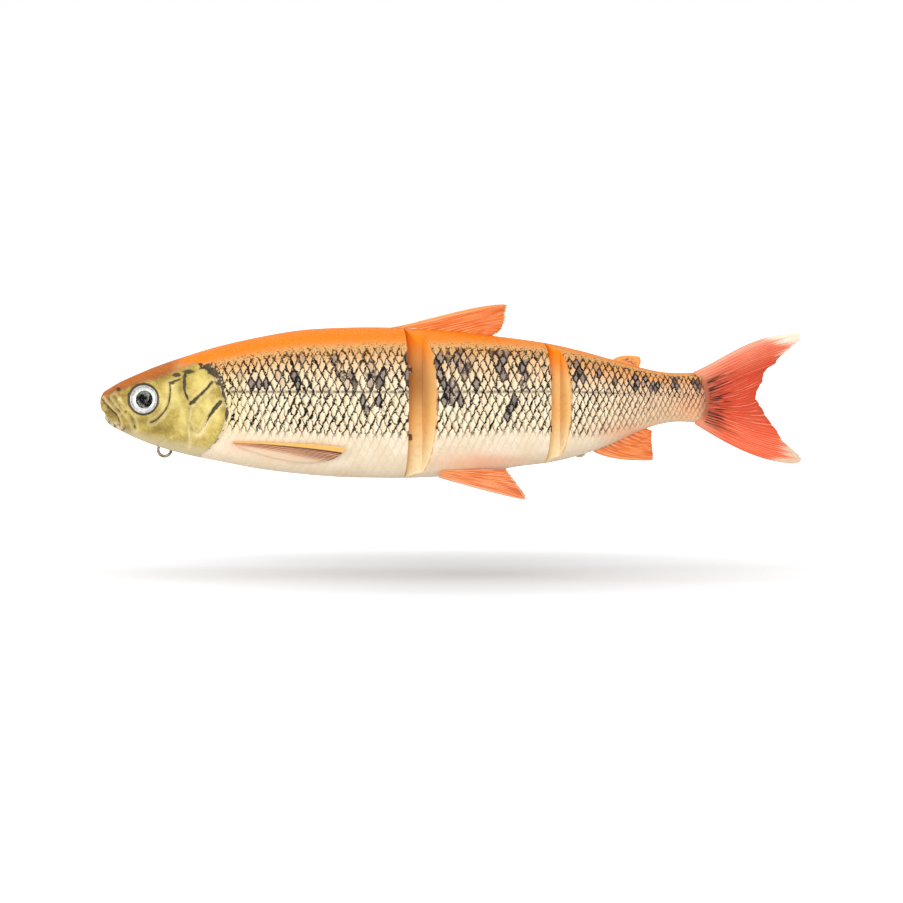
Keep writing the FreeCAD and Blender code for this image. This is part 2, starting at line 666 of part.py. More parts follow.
def front_shell():
    """Left half of the head and shoulders, back to the shallow V of the front joint."""
    joint = FRONT_JOINT
    shell = half_body(NOSE_X, joint.x + 12.0).cut(recess_prism(joint))
    tie_x, tie_z = tie_place()
    x_root, z_root = PECTORAL_ROOT
    half = LOOP_R + WIRE_R + POST_WALL
    peg_start = V(x_root, -flank(x_root, z_root) + 4.6, z_root)
    blocks = [
        slug_cradle(FRONT_SLUG),
        box(tie_x - half, tie_x + half, -BODY_WIDTH, 1.0, -FAR, tie_z + LOOP_PITCH + half),
        eye_cylinder(EYE_R + 1.5, -EYE_DEPTH - 1.4, FAR),
        Part.makeCylinder(PECTORAL_PEG_R + 1.6, FAR, peg_start, V(0, -1, 0)),
    ] + peg_bosses(FRONT_PEGS)
    shell = shell.cut(hollow(NOSE_X + 11.0, joint.x - joint.nose_r - BULKHEAD, blocks))
    mouth = [(NOSE_X - 2.0, -3.4), (NOSE_X - 2.0, -6.6), (NOSE_X + 1.9, -5.2)]
    shell = shell.cut(plate_between(mouth, -FAR, 1.0))
    shell = shell.cut(eye_cylinder(EYE_R + SEAT_GAP, -EYE_DEPTH, FAR))
    shell = shell.cut(figure_eight(tie_x, tie_z, SEAT_GAP))
    shell = shell.cut(slug(FRONT_SLUG, SEAT_GAP))
    shell = shell.cut(pectoral_peg(SEAT_GAP))
    for z in plate_heights(joint):
        shell = shell.cut(plate_shape(joint, z, SEAT_GAP))
    return shell


def cut_nose(shell, joint):
    """The joint's nose on a section's front end, with its plate slots and pin bore."""
    shell = shell.common(nose_prism(joint))
    for z in plate_heights(joint):
        shell = shell.cut(plate_slot(joint, z))
    return shell.cut(hinge_pin(joint, SEAT_GAP, SEAT_GAP))


def middle_shell():
    """Left half of the middle section: a nose in front, a shallow V behind."""
    ahead, behind = FRONT_JOINT, REAR_JOINT
    shell = half_body(ahead.x - ahead.nose_r - 3.0, behind.x + 12.0)
    shell = cut_nose(shell, ahead).cut(recess_prism(behind))
    blocks = [slug_cradle(MIDDLE_SLUG), tang_boss(*DORSAL_TANG, "back")] + peg_bosses(MIDDLE_PEGS)
    shell = shell.cut(hollow(ahead.x + 7.5, behind.x - behind.nose_r - BULKHEAD, blocks))
    shell = shell.cut(tang_pocket(*DORSAL_TANG, "back"))
    shell = shell.cut(pelvic_tang(SEAT_GAP, TANG_DEPTH - 1.5 + SEAT_GAP))
    shell = shell.cut(slug(MIDDLE_SLUG, SEAT_GAP))
    for z in plate_heights(behind):
        shell = shell.cut(plate_shape(behind, z, SEAT_GAP))
    return shell


def rear_shell():
    """Left half of the rear section: a nose in front, a rounded end with the tail's socket behind."""
    joint = REAR_JOINT
    shell = half_body(joint.x - joint.nose_r - 3.0, BODY_END)
    shell = cut_nose(shell, joint).common(rounded_end(0.0))
    x, z = hanger_place()
    slot_half = LOOP_R + WIRE_R + HANGER_SLOT_ROOM
    block_half = slot_half + WALL
    block_top = z + LOOP_PITCH + LOOP_R + WIRE_R + POST_WALL
    blocks = [
        box(x - block_half, x + block_half, -BODY_WIDTH, 1.0, -FAR, block_top),
        tang_boss(*ADIPOSE_TANG, "back"),
        tang_boss(*ANAL_TANG, "belly"),
    ] + peg_bosses(REAR_PEGS)
    shell = shell.cut(hollow(joint.x + 6.5, TAIL_AXIS - TAIL_BEAD_R - 8.0, blocks))
    shell = shell.cut(tang_pocket(*ADIPOSE_TANG, "back")).cut(tang_pocket(*ANAL_TANG, "belly"))
    slot_top = z + WIRE_R + 0.4
    shell = shell.cut(box(x - slot_half, x + slot_half, -HANGER_SLOT_HALF, 1.0, -FAR, slot_top))
    shell = shell.cut(figure_eight(x, z, SEAT_GAP))
    return shell.cut(tail_socket())


# ------------------------------------------------------------------ build
def save_both(name, left):
    """A piece of the left flank and its mirror image on the right."""
    save(name + "_left", left)
    save(name + "_right", mirrored(left))


def main():
    os.makedirs("parts", exist_ok=True)
    save_pair("front", front_shell(), FRONT_PEGS)
    save_pair("middle", middle_shell(), MIDDLE_PEGS)
    save_pair("rear", rear_shell(), REAR_PEGS)
    for piece, shape in zip(("eye_iris", "eye_pupil", "eye_lens"), eye_parts()):
        save_both(piece, shape)
    save("line_tie", figure_eight(*tie_place()))
    save("hook_hanger", figure_eight(*hanger_place()))
    save("front_ballast", slug(FRONT_SLUG))
    save("middle_ballast", slug(MIDDLE_SLUG))
    for name, joint in (("front", FRONT_JOINT), ("rear", REAR_JOINT)):
        for level, z in zip(("upper", "lower"), plate_heights(joint)):
            save(f"{name}_hinge_plate_{level}", hinge_plate(joint, z))
        save(name + "_hinge_pin", hinge_pin(joint))
    save("dorsal_fin", centre_fin(FRONT_JOINT.x, DORSAL, DORSAL_TANG, "back"))
    save("adipose_fin", centre_fin(REAR_JOINT.x, ADIPOSE, ADIPOSE_TANG, "back"))
    save("anal_fin", centre_fin(REAR_JOINT.x, ANAL, ANAL_TANG, "belly"))
    save_both("pelvic_fin", pelvic_fin())
    save_both("pectoral_fin", pectoral_fin())
    save("tail", tail())


main()
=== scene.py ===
"""Looks of the jointed swimbait: painted scaled shells, a sculpted head, glass-look eyes and soft fins.

Lengths in this script are millimetres in the frame of the model: +X from nose to tail, +Z up, and the
left flank at -Y. They become metres where a mesh is made.
"""

import math

import bmesh
import bpy
import numpy as np
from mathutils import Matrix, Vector


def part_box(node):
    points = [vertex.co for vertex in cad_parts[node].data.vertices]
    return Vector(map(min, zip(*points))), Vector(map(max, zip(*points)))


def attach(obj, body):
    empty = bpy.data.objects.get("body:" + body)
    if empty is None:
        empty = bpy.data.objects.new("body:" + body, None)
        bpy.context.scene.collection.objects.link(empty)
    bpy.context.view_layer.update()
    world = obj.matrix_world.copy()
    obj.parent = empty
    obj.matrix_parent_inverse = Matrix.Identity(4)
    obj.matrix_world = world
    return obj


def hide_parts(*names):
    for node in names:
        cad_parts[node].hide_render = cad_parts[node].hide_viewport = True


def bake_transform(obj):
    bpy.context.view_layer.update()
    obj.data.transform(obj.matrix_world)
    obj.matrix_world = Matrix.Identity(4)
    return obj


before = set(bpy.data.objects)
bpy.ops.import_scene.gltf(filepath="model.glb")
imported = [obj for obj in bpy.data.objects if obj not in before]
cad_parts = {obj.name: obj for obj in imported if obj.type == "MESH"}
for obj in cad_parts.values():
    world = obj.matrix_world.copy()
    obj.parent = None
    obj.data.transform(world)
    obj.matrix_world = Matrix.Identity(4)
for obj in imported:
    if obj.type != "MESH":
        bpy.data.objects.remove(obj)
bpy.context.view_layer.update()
MM = 0.001
rng = np.random.default_rng(7)

# ------------------------------------------------------------------ sizes shared with the solid model
NOSE_X = -125.0
BODY_LENGTH = 216.5
BODY_END = NOSE_X + BODY_LENGTH
BODY_DEPTH = 53.7
BODY_WIDTH = 28.0
FULLNESS = 2.2
WIDEST = 0.52
OUTLINE = np.array(
    [
        (0.000, 0.037, -0.048, 0.079),
        (0.005, 0.063, -0.102, 0.114),
        (0.015, 0.089, -0.152, 0.157),
        (0.031, 0.128, -0.190, 0.211),
        (0.064, 0.188, -0.253, 0.286),
        (0.097, 0.242, -0.302, 0.343),
        (0.146, 0.309, -0.356, 0.400),
        (0.196, 0.369, -0.397, 0.439),
        (0.261, 0.428, -0.447, 0.471),
        (0.327, 0.473, -0.480, 0.493),
        (0.393, 0.490, -0.501, 0.500),
        (0.459, 0.493, -0.507, 0.500),
        (0.508, 0.486, -0.507, 0.493),
        (0.577, 0.467, -0.493, 0.479),
        (0.640, 0.439, -0.462, 0.454),
        (0.689, 0.415, -0.430, 0.429),
        (0.739, 0.384, -0.404, 0.400),
        (0.788, 0.339, -0.359, 0.361),
        (0.837, 0.285, -0.287, 0.311),
        (0.886, 0.229, -0.197, 0.250),
        (0.920, 0.199, -0.151, 0.207),
        (0.952, 0.190, -0.134, 0.171),
        (1.000, 0.197, -0.150, 0.140),
    ]
)
FRONT_HINGE = {"x": -11.3, "r": 5.8, "neck": 0.9, "shoulder": 57.0, "recess": 80.0}
REAR_HINGE = {"x": 37.9, "r": 5.0, "neck": 0.6, "shoulder": 55.0, "recess": 75.0}
RUN_GAP = 0.30
TAIL_AXIS = 84.5
SWING = 30.0
PLATE_SLOT_HALF = 1.05  # half height of the slot round a hinge plate
PLATE_EYE = 2.9
PLATE_NECK = 2.1
EYE_X, EYE_Z, EYE_R, EYE_DEPTH = -109.2, 1.1, 5.3, 1.9
SIDES = ((-1, "left"), (1, "right"))
PELVIC_ROOT = (5.6, -23.6)  # out from the centre plane, and height
PELVIC_SPLAY = math.radians(24.0)


# ------------------------------------------------------------------ body surface
def body_line(column, x):
    """A column of OUTLINE at places x, on the same cubic as the solid model."""
    share = np.clip((np.asarray(x, float) - NOSE_X) / BODY_LENGTH, 0.0, 1.0)
    xs, ys = OUTLINE[:, 0], OUTLINE[:, column]
    slope = np.empty_like(ys)
    slope[1:-1] = (ys[2:] - ys[:-2]) / (xs[2:] - xs[:-2])
    slope[0] = (ys[1] - ys[0]) / (xs[1] - xs[0])
    slope[-1] = (ys[-1] - ys[-2]) / (xs[-1] - xs[-2])
    k = np.clip(np.searchsorted(xs, share, side="right") - 1, 0, len(xs) - 2)
    h = xs[k + 1] - xs[k]
    t = (share - xs[k]) / h
    return (
        (2 * t**3 - 3 * t**2 + 1) * ys[k]
        + (t**3 - 2 * t**2 + t) * slope[k] * h
        + (3 * t**2 - 2 * t**3) * ys[k + 1]
        + (t**3 - t**2) * slope[k + 1] * h
    )


def outline(x):
    """Back height, belly height and half width at x."""
    return body_line(1, x) * BODY_DEPTH, body_line(2, x) * BODY_DEPTH, body_line(3, x) * BODY_WIDTH


def skin(x, t):
    """Half width and height of the skin at x, at an angle t from belly (-90 degrees) to back (90)."""
    back, belly, half = outline(x)
    wide = belly + WIDEST * (back - belly)
    across = np.clip(np.cos(t), 0.0, None) ** (2 / FULLNESS)
    across = np.where(np.abs(np.abs(t) - math.pi / 2) < 1e-9, 0.0, across)
    up = np.abs(np.sin(t)) ** (2 / FULLNESS)
    return half * across, np.where(t > 0, wide + (back - wide) * up, wide - (wide - belly) * up)


def flank(x, z):
    """Half width of the body at x and height z."""
    back, belly, half = outline(x)
    wide = belly + WIDEST * (back - belly)
    reach = np.where(z > wide, back - wide, wide - belly)
    return half * (1 - np.clip(np.abs(z - wide) / reach, 0, 1) ** FULLNESS) ** (1 / FULLNESS)


def even_angles(count):
    """Angles from belly to back, evenly spaced along the skin of the deepest part of the body."""
    t = np.linspace(-math.pi / 2, math.pi / 2, 2000)
    y, z = skin(np.full_like(t, -25.0), t)
    length = np.concatenate([[0], np.cumsum(np.hypot(np.diff(y), np.diff(z)))])
    out = np.interp(np.linspace(0, length[-1], count), length, t)
    out[0], out[-1] = -math.pi / 2, math.pi / 2
    return out


# ------------------------------------------------------------------ small geometry helpers
def smoothstep(value, low, high):
    """0 at low and 1 at high, with a smooth rise between. High below low turns it round."""
    t = np.clip((np.asarray(value, float) - low) / (high - low), 0, 1)
    return t * t * (3 - 2 * t)


def rounded(points, count):
    """count points on a smooth curve through the given ones, evenly spaced by knot."""
    p = np.asarray(points, float)
    q = np.vstack([2 * p[0] - p[1], p, 2 * p[-1] - p[-2]])
    u = np.linspace(0, len(p) - 1, count)
    k = np.clip(u.astype(int), 0, len(p) - 2)
    f = (u - k)[:, None]
    a, b, c, d = q[k], q[k + 1], q[k + 2], q[k + 3]
    return 0.5 * (2 * b + (c - a) * f + (2 * a - 5 * b + 4 * c - d) * f**2 + (3 * b - a - 3 * c + d) * f**3)


def distance_to(points, x, z):
    """Distance from each (x, z) to a smooth curve through points, and how far along it that is (0 to 1)."""
    curve = rounded(points, 90)
    best = np.full(x.shape, 1e9)
    along = np.zeros(x.shape)
    for i, (cx, cz) in enumerate(curve):
        d = np.hypot(x - cx, z - cz)
        near = d < best
        best = np.where(near, d, best)
        along = np.where(near, i / (len(curve) - 1), along)
    return best, along


def bump(distance, width):
    """1 on a line, fading to nothing over about twice the width."""
    return np.exp(-((distance / width) ** 2))


# ------------------------------------------------------------------ mesh building
def add_mesh(name, points, faces, uvs, colours):
    """A mesh object from millimetre points; uvs has one pair per face corner, colours one row per point."""
    mesh = bpy.data.meshes.new(name)
    mesh.from_pydata((np.asarray(points) * MM).tolist(), [], [list(f) for f in faces])
    layer = mesh.uv_layers.new(name="OFBake")
    layer.data.foreach_set("uv", np.asarray(uvs, np.float32).ravel())
    for key, values in colours.items():
        attribute = mesh.attributes.new(key, "FLOAT_COLOR", "POINT")
        attribute.data.foreach_set("color", np.asarray(values, np.float32).ravel())
    obj = bpy.data.objects.new(name, mesh)
    bpy.context.scene.collection.objects.link(obj)
    return obj


def clean(obj, merge=2e-7):
    """Merges points closer than merge metres, drops empty faces and turns every face outwards."""
    bm = bmesh.new()
    bm.from_mesh(obj.data)
    bmesh.ops.remove_doubles(bm, verts=bm.verts, dist=merge)
    bmesh.ops.dissolve_degenerate(bm, edges=bm.edges, dist=1e-7)
    bmesh.ops.recalc_face_normals(bm, faces=bm.faces)
    bm.to_mesh(obj.data)
    bm.free()


def shade(obj, angle):
    """Smooth shading with sharp edges above an angle in degrees."""
    obj.data.shade_smooth()
    obj.data.set_sharp_from_angle(angle=math.radians(angle))


def grid_faces(index):
    """Quads over a grid of point numbers."""
    a, b, c, d = index[:-1, :-1], index[1:, :-1], index[1:, 1:], index[:-1, 1:]
    return np.stack([a, b, c, d], -1).reshape(-1, 4)


def grid_uvs(u, v):
    """Corner pairs for grid_faces over the same grid."""
    parts = [np.stack([u[corner], v[corner]], -1) for corner in CORNERS]
    return np.stack(parts, 2).reshape(-1, 2)


CORNERS = [
    (slice(None, -1), slice(None, -1)),
    (slice(1, None), slice(None, -1)),
    (slice(1, None), slice(1, None)),
    (slice(None, -1), slice(1, None)),
]


def subtract(obj, cutters):
    """Cuts closed meshes out of obj."""
    for cutter in cutters:
        modifier = obj.modifiers.new("cut", "BOOLEAN")
        modifier.operation = "DIFFERENCE"
        modifier.solver = "EXACT"
        modifier.object = cutter
        with bpy.context.temp_override(object=obj, active_object=obj, selected_objects=[obj]):
            bpy.ops.object.modifier_apply(modifier=modifier.name)
    for cutter in cutters:
        bpy.data.objects.remove(cutter)


def prism(plan, low, high, dark):
    """An upright prism over a convex (x, y) plan, to cut with; dark is the painted shade on the walls it
    cuts.
    """
    n = len(plan)
    points = [(x, y, low) for x, y in plan] + [(x, y, high) for x, y in plan]
    faces = [list(range(n))[::-1], list(range(n, 2 * n))]
    faces += [[i, (i + 1) % n, n + (i + 1) % n, n + i] for i in range(n)]
    corners = sum(len(f) for f in faces)
    colours = {key: np.zeros((2 * n, 4)) for key in ("zones", "lattice", "head")}
    colours["marks"] = np.tile((dark, 0.0, 1.0, 0.0), (2 * n, 1))
    return add_mesh("cut", points, faces, np.full((corners, 2), 0.995), colours)


# ------------------------------------------------------------------ section ends
def nose_start(hinge, y):
    """Foremost x of a section's rounded nose and shoulder facets at a distance y off the centre plane."""
    r = hinge["r"]
    facet = hinge["x"] + hinge["neck"] + (y - r) / math.tan(math.radians(hinge["shoulder"]))
    return np.where(y < r, hinge["x"] - np.sqrt(np.clip(r * r - y * y, 0, None)), facet)


def recess_end(hinge, y):
    """Rearmost x of a section's shallow V at a distance y off the centre plane."""
    r = hinge["r"] + RUN_GAP
    a = math.pi / 2 + math.radians(hinge["recess"])
    touch = (hinge["x"] + r * math.cos(a), r * math.sin(a))
    facet = touch[0] + (y - touch[1]) / math.tan(math.radians(hinge["recess"]))
    return np.where(y < touch[1], hinge["x"] - np.sqrt(np.clip(r * r - y * y, 0, None)), facet)


def front_nose(y, z):
    """x of the middle section's nose."""
    return nose_start(FRONT_HINGE, y)


def front_recess(y, z):
    """x of the V behind the front section."""
    return recess_end(FRONT_HINGE, y)


def rear_nose(y, z):
    """x of the rear section's nose."""
    return nose_start(REAR_HINGE, y)


def rear_recess(y, z):
    """x of the V behind the middle section."""
    return recess_end(REAR_HINGE, y)


def round_end(y, z):
    """Rearmost x of the hard body at its rounded end."""
    knots = [(3.6, -8.9), (4.9, -7.0), (6.2, -4.6), (7.0, 0.6), (6.4, 5.0), (5.3, 8.2), (4.4, 10.6)]
    curve = rounded(knots, 60)
    radius = np.interp(z, curve[:, 1], curve[:, 0])
    return TAIL_AXIS + np.sqrt(np.clip(radius**2 - y * y, 0.01, None))


def solve_end(t, low, high, place):
    """Where the skin line at angle t meets an end surface x = place(y, z)."""
    a, b = np.full_like(t, low), np.full_like(t, high)
    for _ in range(50):
        m = (a + b) / 2
        y, z = skin(m, t)
        behind = m > place(y, z)
        a, b = np.where(behind, a, m), np.where(behind, m, b)
    return (a + b) / 2


def nose_columns(hinge, edge):
    """Points over a nose, from the skin's edge (x, y, z) in to the centre plane, at constant height."""
    x, y, z = edge
    r, facet_on = hinge["r"], edge[1] > hinge["r"]
    columns = []
    for s in np.linspace(0, 1, 13)[1:]:
        yy = np.where(facet_on, r + (y - r) * (1 - s), y)
        columns.append((np.where(facet_on, nose_start(hinge, yy + 1e-9), x), yy, z))
    columns.append((np.where(facet_on, hinge["x"], x), np.where(facet_on, r, y), z))
    start = np.arcsin(np.clip(np.minimum(y, r) / r, 0, 1))
    for s in np.linspace(0, 1, 15)[1:]:
        angle = start * (1 - s)
        columns.append((hinge["x"] - r * np.cos(angle), r * np.sin(angle), z))
    return columns


def sheet_columns(edge, place, count):
    """Points over an end surface x = place(y, z), from the skin's edge in to the centre plane."""
    _, y, z = edge
    return [(place(y * (1 - s), z), y * (1 - s), z) for s in np.linspace(0, 1, count)[1:]]


# ------------------------------------------------------------------ relief and paint fields
# Lines of the head in side view: edges of the gill plates, folds, lips, jaw and brow.
PREOPERCLE = [
    (-99.8, 6.5), (-99.7, 3.3), (-100.1, 0.5), (-101.2, -2.3), (-103.0, -4.6), (-105.0, -6.4),
    (-106.6, -7.1),
]
CHEEK = [
    (-94.5, 10.0), (-94.6, 7.0), (-94.5, 4.3), (-93.4, 1.5), (-92.5, -0.4), (-92.4, -3.2), (-93.0, -6.0),
    (-93.3, -9.2), (-93.0, -12.5), (-93.1, -15.6),
]
GILL_RAY = [(-92.4, -0.4), (-89.8, 2.0), (-87.2, 4.3), (-84.8, 7.1)]
GILL_SLOT = [
    (-93.0, -7.4), (-91.9, -10.2), (-89.8, -11.4), (-87.6, -8.8), (-85.8, -5.0), (-83.9, -2.2),
    (-81.8, 0.3),
]
OPERCLE = [
    (-91.0, 13.9), (-89.4, 13.0), (-86.1, 11.3), (-83.9, 8.5), (-82.0, 5.2), (-80.9, 2.0), (-80.2, -0.4),
    (-79.9, -3.2), (-80.4, -6.4), (-81.3, -9.6), (-83.4, -13.3), (-86.1, -16.3), (-89.0, -18.1),
]
NAPE = [(-100.2, 7.0), (-96.9, 7.9), (-94.1, 9.3)]
BROW = [(-124.0, 1.3), (-121.2, 3.4), (-117.5, 5.9), (-114.3, 8.3), (-110.5, 10.6), (-105.3, 11.4)]
LIP = [
    (-123.3, 1.6), (-122.2, 0.1), (-119.9, -2.4), (-117.6, -5.2), (-116.7, -7.6), (-117.4, -9.2),
    (-118.8, -9.3),
]
LIP_FOLD = [(-123.7, -0.3), (-122.0, -1.8), (-119.7, -4.1), (-118.4, -6.7)]
JAW = [(-124.0, -6.2), (-122.7, -7.4), (-120.9, -8.4), (-118.8, -9.4)]
MAXILLA = [(-119.7, 1.8), (-118.0, -0.6), (-115.7, -3.4), (-113.3, -6.1), (-112.4, -9.3)]
SNOUT = [(-120.0, 2.0), (-118.0, 2.9), (-115.1, 2.8)]
THROAT = [(-104.4, -15.6), (-100.7, -12.6), (-96.9, -11.2), (-95.2, -12.6)]
NOSTRIL = (-118.4, 4.6)
SCALE_LENGTH, SCALE_HEIGHT = 2.85, 3.05  # of a scale where the body is DEEP
DEEP = 52.0

# Dark paint patches on the flank: place along the body, height, and half sizes.
PATCHES = [
    (-70.4, 7.0, 1.5, 1.9), (-68.8, 7.7, 1.2, 1.8), (-66.4, 7.2, 1.6, 2.4), (-67.5, 8.8, 1.2, 1.0),
    (-54.9, 7.7, 1.7, 2.2), (-55.8, 9.5, 1.0, 1.2), (-40.2, 15.7, 1.3, 2.2), (-39.3, 11.9, 1.5, 1.9),
    (-37.7, 10.3, 1.1, 1.4), (-35.0, 8.3, 1.6, 2.2), (-30.1, 7.7, 1.3, 2.0), (-26.6, 8.1, 1.7, 2.6),
    (-23.7, 8.8, 1.5, 2.4), (-22.6, 11.9, 1.4, 1.2), (-16.2, 15.7, 1.2, 1.9), (-15.5, 7.7, 1.3, 3.4),
    (-16.0, 11.2, 0.9, 2.0), (-30.7, -0.7, 1.4, 2.2), (-25.5, -1.4, 1.3, 2.4), (-47.6, 11.2, 1.3, 1.4),
    (-3.4, 16.7, 1.8, 1.6), (-2.0, 15.5, 1.2, 2.0), (3.0, 16.7, 1.3, 2.3), (-5.0, 11.6, 1.3, 2.4),
    (4.9, 12.3, 1.4, 2.0), (-1.6, 7.5, 1.6, 1.6), (-0.2, 4.9, 1.8, 1.4), (-4.3, 0.5, 1.4, 2.0),
    (-1.3, 0.5, 1.7, 2.2), (1.7, 1.0, 1.6, 2.0), (3.7, 0.5, 1.0, 1.6), (9.1, 7.7, 1.4, 2.4),
    (13.9, 18.6, 1.6, 1.6), (16.0, 17.4, 1.6, 1.5), (19.3, 17.4, 1.6, 1.5), (17.4, 14.1, 1.5, 2.4),
    (19.7, 14.6, 1.2, 2.0), (17.7, 10.0, 1.0, 2.2), (25.5, 13.2, 1.2, 3.0), (25.0, 8.6, 1.4, 2.2),
    (26.1, 6.8, 1.3, 1.6), (22.7, 2.1, 1.3, 2.0), (21.3, -0.6, 1.2, 2.0), (20.0, -3.6, 1.0, 1.8),
    (30.4, 8.6, 1.3, 1.6), (32.7, 14.1, 0.9, 1.6), (34.0, 11.8, 0.9, 1.8), (43.3, 13.1, 1.8, 1.3),
    (44.8, 11.4, 1.3, 1.6), (44.2, 8.6, 1.0, 2.0), (46.4, 7.4, 1.2, 1.6), (52.0, 10.1, 1.0, 1.0),
    (58.2, 8.6, 1.2, 1.4), (62.0, 12.6, 2.0, 0.8), (65.4, 7.7, 1.0, 2.2), (65.7, 4.8, 0.9, 1.0),
    (68.8, 8.0, 0.9, 1.8), (71.3, 6.1, 1.3, 2.0), (72.6, 5.5, 0.9, 2.0), (79.1, 7.1, 1.2, 1.8),
    (86.6, 7.4, 1.6, 1.2), (87.8, 5.8, 1.0, 1.4),
]
# Painted highlights and painted shade on the gold cheek, and black paint smears behind it, given in the same
# way.
CHEEK_HIGHLIGHTS = [
    (-87.9, 6.4, 3.4, 3.6), (-86.8, -0.6, 3.2, 3.6), (-89.8, -4.8, 2.2, 4.2), (-83.2, -4.4, 1.6, 3.6),
    (-97.1, 1.9, 2.2, 4.5), (-95.2, -4.6, 1.6, 5.0), (-102.1, -0.6, 1.3, 3.8), (-118.3, 1.0, 2.0, 0.8),
]
CHEEK_SHADE = [
    (-110.2, -7.0, 6.0, 1.6), (-104.2, -9.1, 5.0, 3.0), (-119.4, 0.0, 1.2, 1.2), (-119.6, 1.6, 1.4, 0.8),
    (-102.2, 8.9, 3.4, 2.2), (-96.1, 4.8, 1.2, 2.6), (-121.1, -4.2, 1.8, 2.6), (-114.8, -9.1, 2.4, 2.0),
]
SMEARS = [
    (-97.3, 9.7, 2.6, 0.8), (-93.0, 10.8, 2.6, 1.0), (-87.6, 12.4, 2.6, 1.2), (-94.6, 6.6, 0.9, 2.6),
    (-85.2, 11.6, 2.6, 2.2), (-82.4, 8.0, 1.6, 2.6), (-99.1, 6.9, 1.2, 0.7), (-91.6, 0.0, 1.2, 0.9),
]

# Rosy parts of the belly, given in the same way.
ROSE = [(9.0, -21.0, 16.0, 3.2), (63.0, -10.5, 12.0, 3.0), (86.0, -2.0, 6.0, 6.0)]
FAINT_ROSE = [(-74.0, -15.5, 6.0, 2.6), (-58.0, -18.5, 9.0, 2.4)]


def patches(rows, x, z):
    """The strongest of some soft oval spots at each place, at most 1."""
    most = np.zeros(x.shape)
    for cx, cz, rx, rz in rows:
        most = np.maximum(most, np.exp(-(((x - cx) / rx) ** 2 + ((z - cz) / rz) ** 2)))
    return most


def past_gill(x, z):
    """Distance behind the rear edge of the gill cover."""
    rising = OPERCLE[::-1]
    return x - np.interp(z, [p[1] for p in rising], [p[0] for p in rising])


def lattice_coordinates(x, y, z):
    """Scale lattice over a skin grid: along the body and up the flank, in scales, and each scale's middle."""
    depth = lambda v: outline(v)[0] - outline(v)[1]
    line = np.linspace(NOSE_X, BODY_END + 2, 1200)
    pitch = SCALE_LENGTH * (depth(line) / DEEP) ** 0.5
    count = np.concatenate([[0], np.cumsum(np.diff(line) / pitch[1:])])
    columns = np.interp(x, line, count)
    step = np.hypot(np.diff(y, axis=1), np.diff(z, axis=1))
    arc = np.concatenate([np.zeros((x.shape[0], 1)), np.cumsum(step, axis=1)], axis=1)
    lateral = np.interp(x[:, x.shape[1] // 2], [40.0, 90.0], [3.9, 2.1])
    zero = np.array([np.interp(h, zz, aa) for h, zz, aa in zip(lateral, z, arc)])
    rows = (arc - zero[:, None]) / (SCALE_HEIGHT * (depth(x) / DEEP) ** 0.55)
    a = np.floor(columns + rows / 2) + 0.5
    b = np.floor(columns - rows / 2) + 0.5
    middle_x = np.interp((a + b) / 2, count, line)
    middle_z = np.array([np.interp(want, have, height) for want, have, height in zip(a - b, rows, z)])
    return columns, rows, middle_x, middle_z


